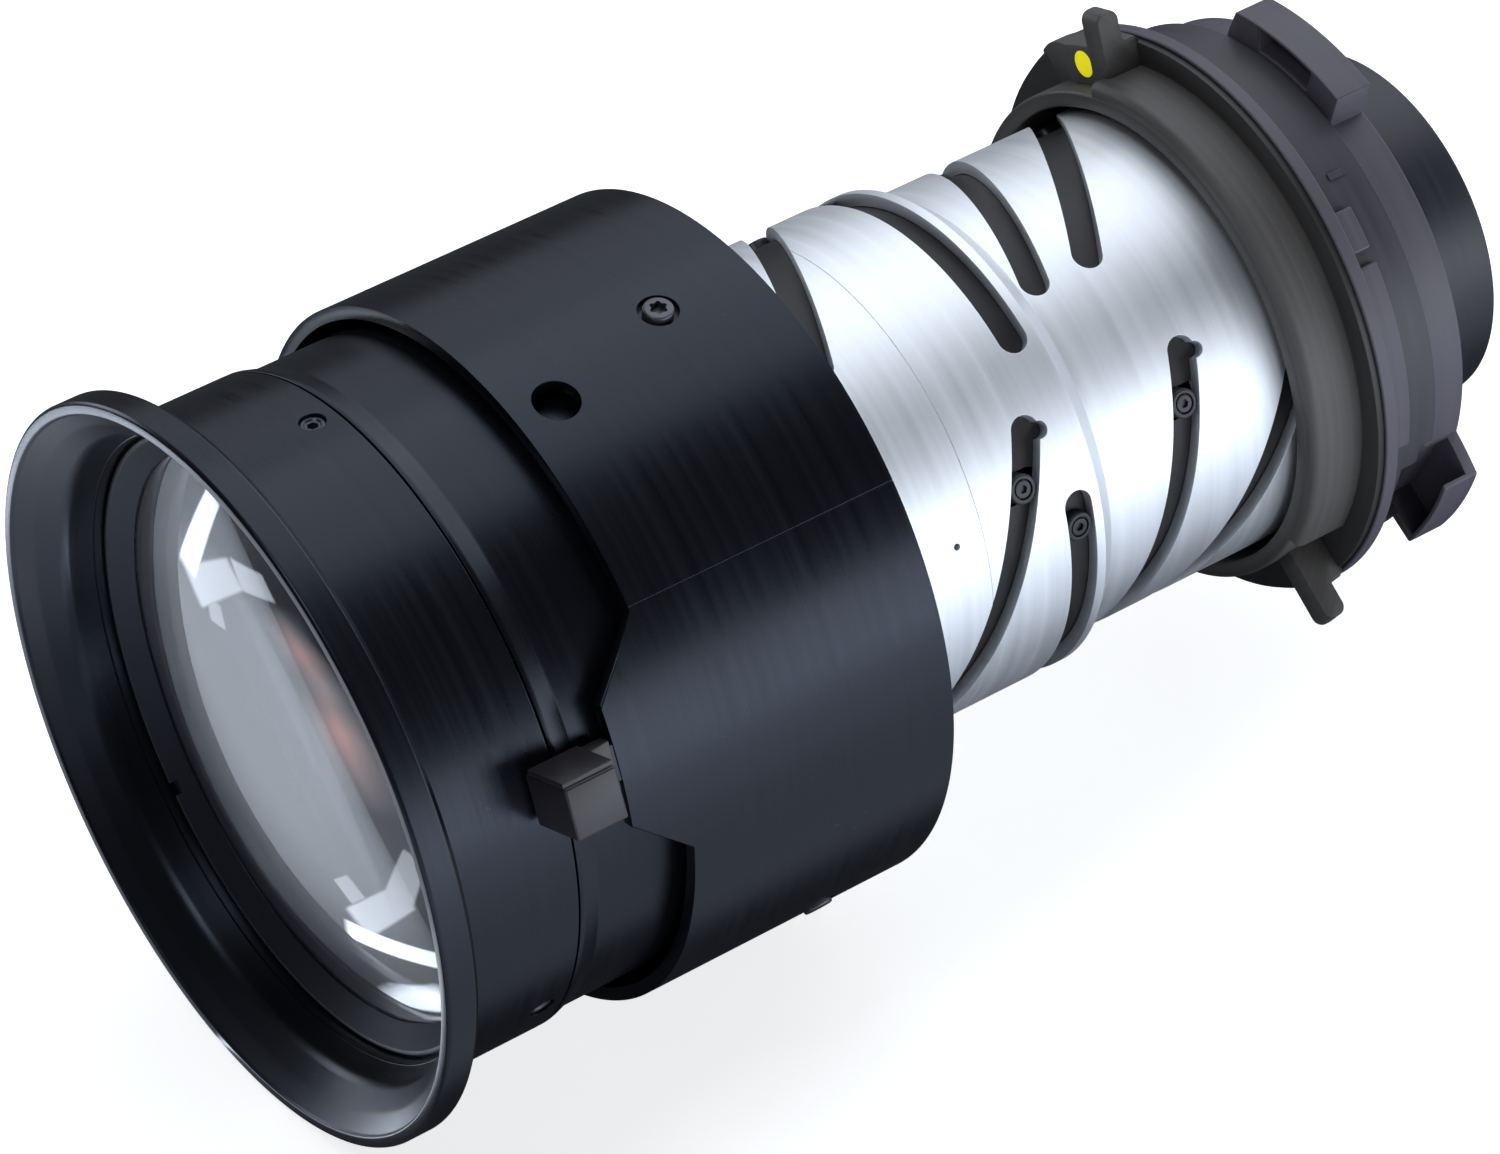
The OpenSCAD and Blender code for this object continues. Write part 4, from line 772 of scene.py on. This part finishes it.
class LENS_OT_zoom_ring(Operator):
    """Build the zoom ring with its tongue, holes, index line, screws and lever"""

    bl_idname = "lens.zoom_ring"
    bl_label = "Zoom Ring and Lever"
    screw_y = -102
    first_screw = -114
    lever_angle = 66
    cut = (49, 54)

    def execute(self, context):
        self.ring()
        self.screws()
        self.lever()
        return {"FINISHED"}

    def ring(self):
        start = arc(-150, ZOOM_R)
        end = start + TURN * ZOOM_R
        low, high = self.cut
        cutters = [self.beside_tongue(46.5, 57, start - 1), self.beside_tongue(85.5, 77, end + 1)]
        line = arc(46, ZOOM_R)
        cutters.append(slab(line - 0.1, line + 0.1, ZOOM_FRONT - 1, ZOOM_REAR + 1, ZOOM_R - 0.08, high))
        cutters.append(hole(arc(13, ZOOM_R), -123.2, 3.4, low, high))
        for turn in THREE_TIMES:
            x = arc(self.first_screw + turn, ZOOM_R)
            cutters.append(hole(x, self.screw_y, 1.6, low, high))
            cutters.append(hole(x, self.screw_y, 2.95, ZOOM_R - 1.0, high))
        ring = carved(slab(start, end, TONGUE_FRONT, ZOOM_REAR, 50.5, ZOOM_R), cutters)
        tongue = [edge for edge in ring.edges if self.on_tongue(edge)]
        bevel(ring, tongue, 0.38, 4)
        roll(ring, ZOOM_R, start)
        neck = slab(-2.7, 2.7, TONGUE_FRONT - 11.2, TONGUE_FRONT + 0.4, 50.7, 52.3)
        soften(neck)
        finish_piece(joined(ring, at_angle(neck, self.lever_angle)), "zoom_ring_turned", black_anodised(),
                     "zoom", "zoom_ring")

    def beside_tongue(self, root, tip, far):
        """The cutter beside the tongue, whose side leans from an angle at its root to one at its tip."""
        past = TONGUE_FRONT - 1
        lean = (arc(tip, ZOOM_R) - arc(root, ZOOM_R)) / (ZOOM_FRONT - TONGUE_FRONT)
        return prism([
            (far, past), (arc(tip, ZOOM_R) + lean, past), (arc(root, ZOOM_R), ZOOM_FRONT), (far, ZOOM_FRONT),
        ], *self.cut)

    def on_tongue(self, edge):
        """Does the edge run along a leaning side of the tongue, on its outside?"""
        a, b = edge.verts
        return abs(a.co.y - b.co.y) > 4 * MM and all(
            v.co.z > (ZOOM_R - 0.02) * MM and v.co.y < (ZOOM_FRONT + 0.1) * MM
            and v.co.x > arc(46.3, ZOOM_R) * MM for v in edge.verts)

    def screws(self):
        top = ZOOM_R + 0.5
        screw = peg([
            (0, 47), (1.35, 47), (1.35, 51.52), (2.2, 51.52, 0.05), (2.2, top, 0.35), (0, top),
        ], self.screw_y)
        screw = carved(screw, [socket_cutter(1.35, top - 1.0, top + 0.3, self.screw_y, lobe_depth=0.26)])
        finish_piece(at_angle(screw, self.first_screw, 3), "zoom_screws_fine", steel_dark(), "zoom",
                     "zoom_ring_screws", turned=False)

    def lever(self):
        rear = TONGUE_FRONT - 4.6
        front = rear - 8.1
        block = slab(-3.6, 4.05, front, rear, 50.5, 60.7)
        bevel(block, block.edges[:], 0.38, 3)
        side = slab(-4.4, -3.55, front + 0.05, rear - 0.05, 51.4, 60.3)
        bevel(side, side.edges[:], 0.12, 2)
        foot = slab(-3.6, 3.6, rear - 0.4, rear + 4.0, 50.6, 53.4)
        for v in foot.verts:
            if v.co.y > rear * MM and v.co.z > 52 * MM:
                v.co.z -= 0.7 * MM
        bevel(foot, foot.edges[:], 0.2, 2)
        finish_piece(at_angle(joined(block, side, foot), self.lever_angle), "zoom_lever_moulded",
                     lever_black(), "zoom", "zoom_lever", turned=False)


class LENS_OT_cam_barrel(Operator):
    """Build the silver cam barrel with its slots, hub and scribed line"""

    bl_idname = "lens.cam_barrel"
    bl_label = "Cam Barrel"

    def execute(self, context):
        start = arc(40, CAM_R)
        end = start + TURN * CAM_R
        wall = 1.95
        low, high = CAM_R - wall - 1, CAM_R + 1
        cutters = []
        # Each slot: station at 62 degrees, lead for each degree, first and last angle, radius there, notch.
        for station, lead, first, last, radius, notched in (
            (FRONT_CAM, 0.266, 50.4, 138, CAM_R, True), (MIDDLE_CAM, 0.170, 50, 140, CAM_REAR_R, True),
            (REAR_CAM, 0.318, 56, 139.5, CAM_REAR_R, False), (KEEPER, 0.0, 71, 151, CAM_R, False),
        ):
            y0, y1 = (station - lead * (angle - CAM_ANGLE) for angle in (first, last))
            for turn in THREE_TIMES:
                slot = stadium(arc(first, radius), y0, arc(last, radius), y1, 2.3, low, high)
                bmesh.ops.scale(slot, vec=(CAM_R / radius, 1, 1), verts=slot.verts)
                bmesh.ops.translate(slot, vec=(arc(turn, CAM_R) * MM, 0, 0), verts=slot.verts)
                cutters.append(slot)
                if notched:
                    cutters.append(hole(arc(first + 1 + turn, CAM_R), y0 + 2.12, 1.3, low, high, 24))
        cutters.append(hole(arc(67, CAM_R), -72.2, 0.5, low, high, 24))
        scribed = (-67.8, -67.6)
        cutters.append(slab(start - 1, end + 1, *scribed, CAM_R - 0.1, high))
        barrel = carved(slab(start, end, -106.8, CAM_END, CAM_R - wall, CAM_R), cutters)
        roll(barrel, CAM_R, start, scribed, (CONE_FRONT, CONE_REAR), self.step_down)
        finish_piece(barrel, "cam_barrel_turned", silver_turned(), "zoom", "cam_barrel")
        hub = lathe([
            (37.2, -101.5), (46.9, -101.5), (46.9, -106), (50.4, -106), (50.4, -96),
            (46.9, -96, 0.2), (46.9, -98, 0.3), (37.2, -98),
        ])
        finish_piece(hub, "cam_hub_turned", silver_turned(), "zoom", "cam_hub")
        return {"FINISHED"}

    @staticmethod
    def step_down(y):
        """How far the barrel's cone has shrunk its radius at a station."""
        share = (y - CONE_FRONT) / (CONE_REAR - CONE_FRONT)
        return -(CAM_R - CAM_REAR_R) * min(1, max(0, share))


class LENS_OT_followers(Operator):
    """Build the rollers and screws that show in the slots"""

    bl_idname = "lens.followers"
    bl_label = "Followers"

    def execute(self, context):
        for name, body, y, angle, low, top in (
            ("front_zoom", "front_zoom_group", FRONT_CAM, CAM_ANGLE, 32.45, 36.75),
            ("middle_zoom", "middle_zoom_group", MIDDLE_CAM, CAM_ANGLE, 30.08, 34.23),
            ("rear_zoom", "rear_zoom_group", REAR_CAM, CAM_ANGLE, 30.08, 34.23),
            ("keeper", "mount", KEEPER, 76.5, 35.1, 36.75),
        ):
            roller = peg([
                (0.85, low), (2.2, low, 0.1), (2.2, top, 0.3), (1.5, top, 0.08), (1.5, top - 0.7),
                (0.85, top - 0.7), (0.85, low),
            ], y)
            finish_piece(at_angle(roller, angle, 3), name + "_rollers_fine", roller_dark(), body,
                         name + "_rollers", turned=False)
            screw = peg([
                (0, low - 2), (0.8, low - 2), (0.8, top - 0.75), (1.3, top - 0.75), (1.3, top - 0.05, 0.12),
                (0, top - 0.05),
            ], y)
            screw = carved(screw, [socket_cutter(0.68, top - 0.55, top + 0.3, y)])
            node = name + ("_screws" if name == "keeper" else "_roller_screws")
            finish_piece(at_angle(screw, angle, 3), name + "_screws_fine", screw_black(), body, node,
                         turned=False)
        return {"FINISHED"}


class LENS_OT_mount(Operator):
    """Build the bayonet ring, the collar, its tabs, screws and dot"""

    bl_idname = "lens.mount"
    bl_label = "Mount"
    tab_front = COLLAR_FRONT - 6
    sunk = COLLAR_FRONT + 0.4

    def execute(self, context):
        self.collar()
        self.dot()
        self.screws()
        self.ring()
        return {"FINISHED"}

    def collar(self):
        lip = COLLAR_FRONT - 8.8
        body = lathe([
            (36.0, lip, 0.35), (38.5, lip, 0.55), (38.5, COLLAR_FRONT, 0.3), (43.8, COLLAR_FRONT, 0.12),
            (43.8, COLLAR_FRONT + 1.8), (36.0, COLLAR_FRONT + 1.8),
        ])
        radius = 40.3
        wall = slab(arc(-20, radius), arc(111.5, radius), lip + 0.1, self.sunk, 38.1, radius)
        nose = [edge for edge in wall.edges if in_plane(edge, 1, lip + 0.1) and in_plane(edge, 2, radius)]
        bevel(wall, nose, 1.3, 6)
        wrap(wall, radius)
        tabs = [self.tab(angle) for angle in (-21.3, 124.4)]
        finish_piece(joined(body, wall, self.pad(radius), *tabs), "mount_collar_fine", collar_grey(), "mount",
                     "mount_collar")

    def pad(self, radius):
        """The pad under the dot, whose front leans away past -31.5 degrees."""
        front, flat, low = self.tab_front + 0.1, arc(-31.5, radius), arc(-60, radius)
        pad = slab(low, arc(-21, radius), front, self.sunk, 38.1, 44.6)
        lean = (flat - low + 1) * math.tan(math.radians(22))
        ramp = prism([
            (flat, front), (low - 1, front + lean), (low - 1, self.tab_front - 2), (flat, self.tab_front - 2),
        ], 37, 46)
        pad = carved(pad, [ramp])
        soften(pad, 0.25, least=15)
        wrap(pad, radius)
        return pad

    def tab(self, angle):
        back = self.tab_front + 3.72
        tab = plate([
            (self.tab_front, 38.1), (self.tab_front, 50), (back, 50), (back, 45.4), (back + 0.4, 45),
            (COLLAR_FRONT - 0.4, 45), (self.sunk, 44.2), (self.sunk, 38.1),
        ], -2.1, 2.1)
        top = [edge for edge in tab.edges
               if in_plane(edge, 2, 50) and abs(edge.verts[0].co.x - edge.verts[1].co.x) > MM]
        bevel(tab, top, 1.5, 6)
        soften(tab, 0.32, least=50)
        return at_angle(tab, angle)

    def dot(self):
        dot = disc([(0, -0.1), (2.05, -0.1, 0.08), (2.05, 0.2), (0, 0.2)], self.tab_front + 0.1, 41.75)
        finish_piece(at_angle(dot, -26.5), "index_dot_painted", glowing_dot_paint(), "mount", "index_dot",
                     turned=False)

    def screws(self):
        profile = [(0, 0.12), (0.3, 0.12), (0.68, -0.02, 0.1), (0.68, 0.8), (0, 0.8)]
        screws = [at_angle(disc(profile, COLLAR_FRONT, 42.05), -2.5 + 45 * i) for i in range(7)]
        finish_piece(joined(*screws), "collar_screws_fine", steel_dark(), "mount", "collar_screws",
                     turned=False)

    def ring(self):
        body = lathe([
            (38.2, -1.5), (43.9, -1.5), (43.9, -2.2, 0.1), (44.4, -2.2, 0.25), (44.4, SEAT, 0.25),
            (BODY_R, SEAT), (BODY_R, BODY_REAR, 0.25), (39.0, BODY_REAR), (39.0, LUG_REAR, 0.3),
            (36.1, LUG_REAR, 0.1), (36.1, 6.3), (29.8, 6.3), (29.8, 2.3), (38.2, 2.3),
        ])
        lugs = [self.lug(-16, 36), self.lug(224, 36)]
        notched = self.lug(98.5, 27, pocket=False)
        recess = slab(arc(99, LUG_R), arc(122, LUG_R), 4.8, BODY_REAR + 4.5, 37.5, 44.4)
        notch = slab(arc(94.5, LUG_R), arc(100, LUG_R), 7.6, BODY_REAR + 0.5, 39.3, 42)
        for cutter in (recess, notch):
            wrap(cutter, LUG_R)
        ribs = [
            at_angle(self.rib(first, span, -0.5, 4.6, 41.6, 0.3), turn)
            for turn in THREE_TIMES for first, span in ((37.5, 9), (49.5, 41))
        ]
        ridge = self.rib(29.6, 1.6, 4.2, 7.0, 40.9, 0.12)
        whole = carved(joined(body, notched), [recess, notch])
        finish_piece(joined(whole, ridge, *lugs, *ribs), "bayonet_ring_fine", bayonet_grey(), "mount",
                     "bayonet_ring")

    def lug(self, first, span, pocket=True):
        """A bayonet lug with sloped ends that starts at an angle and covers a span."""
        x0, x1 = arc(first - 0.5, LUG_R), arc(first + span, LUG_R)
        lug = slab(x0, x1, BODY_REAR + 0.15, LUG_REAR - 0.1, 38.0, LUG_R)
        for v in lug.verts:
            if v.co.z > (LUG_R - 1) * MM:
                v.co.x += (4.4 if v.co.x < (x0 + 1) * MM else -0.8) * MM
        if pocket:
            x0, x1 = arc(first + 12, LUG_R), arc(first + 27, LUG_R)
            lug = carved(lug, [slab(x0, x1, BODY_REAR - 1, BODY_REAR + 4.5, 40.75, 44.4)])
        soften(lug, 0.3)
        wrap(lug, LUG_R)
        return lug

    def rib(self, first, span, y0, y1, radius, edge):
        """A low rib on the body from a first angle over a span."""
        rib = slab(arc(first, radius), arc(first + span, radius), y0, y1, 39.6, radius)
        soften(rib, edge)
        wrap(rib, radius)
        return rib


class LENS_OT_rear(Operator):
    """Build the black rear barrel"""

    bl_idname = "lens.rear"
    bl_label = "Rear Barrel"

    def execute(self, context):
        barrel = lathe([
            (21.5, 6.3), (36.1, 6.3), (36.1, 16.2), (27.6, 16.2, 0.2), (27.6, REAR_END, 0.5),
            (24.4, REAR_END, 0.2), (24.0, REAR_END - 0.5), (24.0, 23.8), (21.5, 22.7),
        ])
        finish_piece(barrel, "rear_barrel_turned", rear_black(), "mount", "rear_barrel")
        return {"FINISHED"}


def sag(curve, r):
    """How far a sphere of radius `curve` falls away from its pole at a radius."""
    return curve - math.sqrt(curve * curve - r * r)


def lens_element(r, y0, y1, front, back, flat=0.0):
    """A glass element whose edge lies from y0 to y1; a positive curve bulges outwards.
    flat is the width of a flat rim round a hollow back."""
    bm = bmesh.new()
    rims = []
    for y, curve, side in ((y0, front, -1), (y1, back, 1)):
        reach = r - (flat if side > 0 else 0)
        outwards = side if curve > 0 else -side
        pole = y + outwards * sag(abs(curve), reach)
        centre = y + outwards * (sag(abs(curve), reach) - abs(curve))
        swept = bmesh.ops.spin(
            bm, geom=[bm.verts.new((0, pole * MM, 0))], cent=(0, centre * MM, 0), axis=(1, 0, 0),
            angle=math.asin(reach / abs(curve)) * outwards, steps=28, use_merge=False, use_duplicate=False,
        )
        rims.append(next(g for g in swept["geom_last"] if isinstance(g, bmesh.types.BMVert)))
    if flat:
        outer = bm.verts.new((0, y1 * MM, r * MM))
        bm.edges.new((rims[1], outer))
        rims[1] = outer
    bm.edges.new(rims)
    return revolve(bm, GLASS_STEPS, weld=2 * WELD)


class LENS_OT_glass(Operator):
    """Build the glass of the front group and the rings that hold it"""

    bl_idname = "lens.glass"
    bl_label = "Front Glass"
    edge = 4

    def execute(self, context):
        self.elements()
        self.retainer()
        spacer_front = GLASS_FRONT + self.edge
        spacer = lathe([
            (GLASS_R, spacer_front), (GLASS_R, spacer_front + 6.5), (36.4, spacer_front + 6.5),
            (41.6, spacer_front),
        ])
        finish_piece(spacer, "element_spacer_turned", spacer_grey(), "front_group", "element_spacer")
        return {"FINISHED"}

    def elements(self):
        y0 = GLASS_FRONT
        y1 = y0 + self.edge + 9
        y2 = y1 + self.edge + sag(70, 34) + 0.6
        for name, material, y, radius, front, back, flat in (
            ("front_element", clear_glass, y0, GLASS_R, 130, -260, 0),
            ("second_element", coated_glass, y1, 38.2, 100, -60, 8.2),
            ("third_element", pink_glass, y2, 34, 70, 200, 0),
        ):
            element = lens_element(radius, y, y + self.edge, front, back, flat)
            finish_piece(element, name + "_polished", material(), "front_group", name,
                         turned=False)

    def retainer(self):
        front = -161.26
        ring = lathe([
            (46.56, GLASS_FRONT), (46.56, front, 0.25), (45.86, front, 0.15), (43.0, GLASS_FRONT - 0.4, 0.1),
            (43.0, GLASS_FRONT),
        ])
        ring = carved(ring, [
            at_angle(slab(-1, 1, front - 1, front + 0.8, GLASS_R, 47), angle) for angle in (-135.4, 44.6)
        ])
        finish_piece(ring, "front_retainer_turned", retainer_black(), "front_group", "front_retainer")


class LENS_OT_inner(Operator):
    """Give the inner pieces that stay as solids their finishes"""

    bl_idname = "lens.inner"
    bl_label = "Inner Pieces"

    def execute(self, context):
        groups = ("front_zoom_", "middle_zoom_", "rear_zoom_")
        for finish, nodes in (
            (guide_grey, ["guide_barrel"]),
            (coated_glass, ["rear_element", *(group + "element" for group in groups)]),
            (steel_dark, ["tube_flange_screws", "rear_flange_screws", "lever_screw", "cell_keys"]),
            (black_satin, ["rear_retainer", "front_cell", "second_retainer", "third_retainer",
                           *(group + "cell" for group in groups), *(group + "retainer" for group in groups)]),
        ):
            for node in nodes:
                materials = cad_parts[node].data.materials
                materials.clear()
                materials.append(finish())
        return {"FINISHED"}


class LENS_OT_stage(Operator):
    """Build the pale floor, the soft lights and the camera"""

    bl_idname = "lens.stage"
    bl_label = "Stage"

    def execute(self, context):
        scene = context.scene
        scene.view_settings.view_transform = "Standard"
        self.camera(scene)
        self.floor()
        for row in SOFTBOXES:
            self.softbox(scene, *row)
        world = bpy.data.worlds.new("studio")
        world.use_nodes = True
        Shader(world.node_tree).give(world.node_tree.nodes["Background"], Color=(0.9, 0.94, 1), Strength=0.05)
        scene.world = world
        return {"FINISHED"}

    def camera(self, scene):
        """The camera of the photo, as fitted to the circles of the lens."""
        a, e = math.radians(CAMERA_TURN), math.radians(CAMERA_DROP)
        right = Vector((math.cos(a), math.sin(a), 0))
        ahead = Vector((-math.cos(e) * math.sin(a), math.cos(e) * math.cos(a), -math.sin(e)))
        up = right.cross(ahead)
        to_rim = right * RIM_IN_VIEW[0] + up * RIM_IN_VIEW[1] + ahead * RIM_IN_VIEW[2]
        data = bpy.data.cameras.new("camera")
        data.sensor_width = 36
        data.lens = FOCAL_PIXELS / PHOTO_WIDTH * data.sensor_width
        data.clip_start = 0.01
        data.clip_end = 20
        camera = bpy.data.objects.new("camera", data)
        scene.collection.objects.link(camera)
        turn = Matrix((right, up, -ahead)).transposed().to_4x4()
        camera.matrix_world = Matrix.Translation(Vector((0, RIM * MM, 0)) - to_rim * MM) @ turn
        scene.camera = camera

    def floor(self):
        """A floor that is white to the camera, and dark with lit cards to the lens."""
        bm = bmesh.new()
        bmesh.ops.create_grid(bm, x_segments=2, y_segments=2, size=3)
        bmesh.ops.translate(bm, vec=(0, 0, FLOOR), verts=bm.verts)
        floor = mesh_object(bm, "floor")
        material, s, shader = new_material("Pale floor")
        seen = s.add("ShaderNodeLightPath").outputs["Is Camera Ray"]
        glow, pink = self.glow(s)
        tint = s.between(pink, (0.80, 0.88, 1.0), (1.0, 0.66, 0.66))
        s.give(
            shader, Base_Color=s.between(seen, (0.05, 0.052, 0.06), (0.86, 0.87, 0.88)),
            Roughness=0.9, Specular_IOR_Level=0.1, Emission_Color=s.between(seen, tint, (1, 1, 1)),
            Emission_Strength=s.span(seen, glow, 0.75, (0, 1)),
        )
        floor.data.materials.append(material)

    def glow(self, s):
        """How bright the floor is to the lens, and where it is pink."""
        x, y, _ = s.place()
        beside = s.math("ADD", s.span(x, 0.02, 0.45, (0.056, 0.068)), s.span(x, 0, 1.1, (0.07, 0.26)))
        away = s.hypot(s.math("ADD", x, 0.06), s.math("ADD", y, 0.22))
        sheet = s.product(s.span(y, 1.15, 0.0, (-0.19, -0.155)), s.span(away, 1.0, 0.12, (0.060, 0.088)))
        glow = s.math("MAXIMUM", beside, sheet)
        for *card, power in WHITE_CARDS:
            glow = s.math("MAXIMUM", s.product(self.card(s, x, y, *card), power), glow)
        pink = 0.0
        for *card, power in PINK_CARDS:
            soft = self.card(s, x, y, *card, sharp=0.05)
            glow = s.math("MULTIPLY_ADD", soft, power, glow)
            pink = s.math("MAXIMUM", soft, pink)
        return glow, pink

    @staticmethod
    def card(s, x, y, cx, cy, half, thin, turn, sharp=0.85):
        """1 inside a turned rectangle of the floor and 0 outside, fading towards its edges."""
        c, k = math.cos(math.radians(turn)), math.sin(math.radians(turn))
        x, y = s.math("SUBTRACT", x, cx), s.math("SUBTRACT", y, cy)
        u = s.math("ADD", s.product(x, c), s.product(y, k))
        v = s.math("SUBTRACT", s.product(y, c), s.product(x, k))
        along = s.span(s.math("ABSOLUTE", u), 1, 0, (half * sharp, half * 1.05))
        across = s.span(s.math("ABSOLUTE", v), 1, 0, (thin * sharp, thin * 1.1))
        return s.product(along, across)

    def softbox(self, scene, name, angle, along, distance, width, height, radiance):
        light = bpy.data.lights.new(name, "AREA")
        light.color = (0.86, 0.92, 1.0)
        light.shape = "RECTANGLE"
        light.size = width
        light.size_y = height
        light.energy = radiance * math.pi * width * height
        lamp = bpy.data.objects.new(name, light)
        scene.collection.objects.link(lamp)
        t = math.radians(angle)
        radial = math.sqrt(1 - along * along)
        outward = Vector((radial * math.sin(t), along, radial * math.cos(t)))
        across = Vector((math.cos(t), 0, -math.sin(t)))
        upward = outward.cross(across).normalized()
        place = Matrix.Translation(Vector((0, -0.08, 0)) + outward * distance)
        lamp.matrix_world = place @ Matrix((across, upward, outward)).transposed().to_4x4()


class LENS_PT_panel(Panel):
    """The lens pieces"""

    bl_idname = "LENS_PT_panel"
    bl_label = "Projection Lens"
    bl_space_type = "VIEW_3D"
    bl_region_type = "UI"
    bl_category = "Lens"

    def draw(self, context):
        layout = self.layout
        for group in (context.scene.lens_sizes, context.scene.lens_colours):
            column = layout.column()
            for name in group.bl_rna.properties.keys():
                if name not in ("rna_type", "name"):
                    column.prop(group, name)
        for operator in BUILD:
            layout.operator(operator.bl_idname)


BUILD = (
    LENS_OT_stage, LENS_OT_hood, LENS_OT_tube, LENS_OT_zoom_ring, LENS_OT_cam_barrel,
    LENS_OT_followers, LENS_OT_mount, LENS_OT_rear, LENS_OT_glass, LENS_OT_inner,
)
CLASSES = (LensSizes, LensColours, *BUILD, LENS_PT_panel)


def register():
    for cls in CLASSES:
        bpy.utils.register_class(cls)
    bpy.types.Scene.lens_sizes = PointerProperty(type=LensSizes)
    bpy.types.Scene.lens_colours = PointerProperty(type=LensColours)


def unregister():
    del bpy.types.Scene.lens_colours
    del bpy.types.Scene.lens_sizes
    for cls in reversed(CLASSES):
        bpy.utils.unregister_class(cls)


def main():
    register()
    bpy.ops.lens.stage()
    bpy.ops.lens.hood()
    bpy.ops.lens.tube()
    bpy.ops.lens.zoom_ring()
    bpy.ops.lens.cam_barrel()
    bpy.ops.lens.followers()
    bpy.ops.lens.mount()
    bpy.ops.lens.rear()
    bpy.ops.lens.glass()
    bpy.ops.lens.inner()


if __name__ == "__main__":
    main()
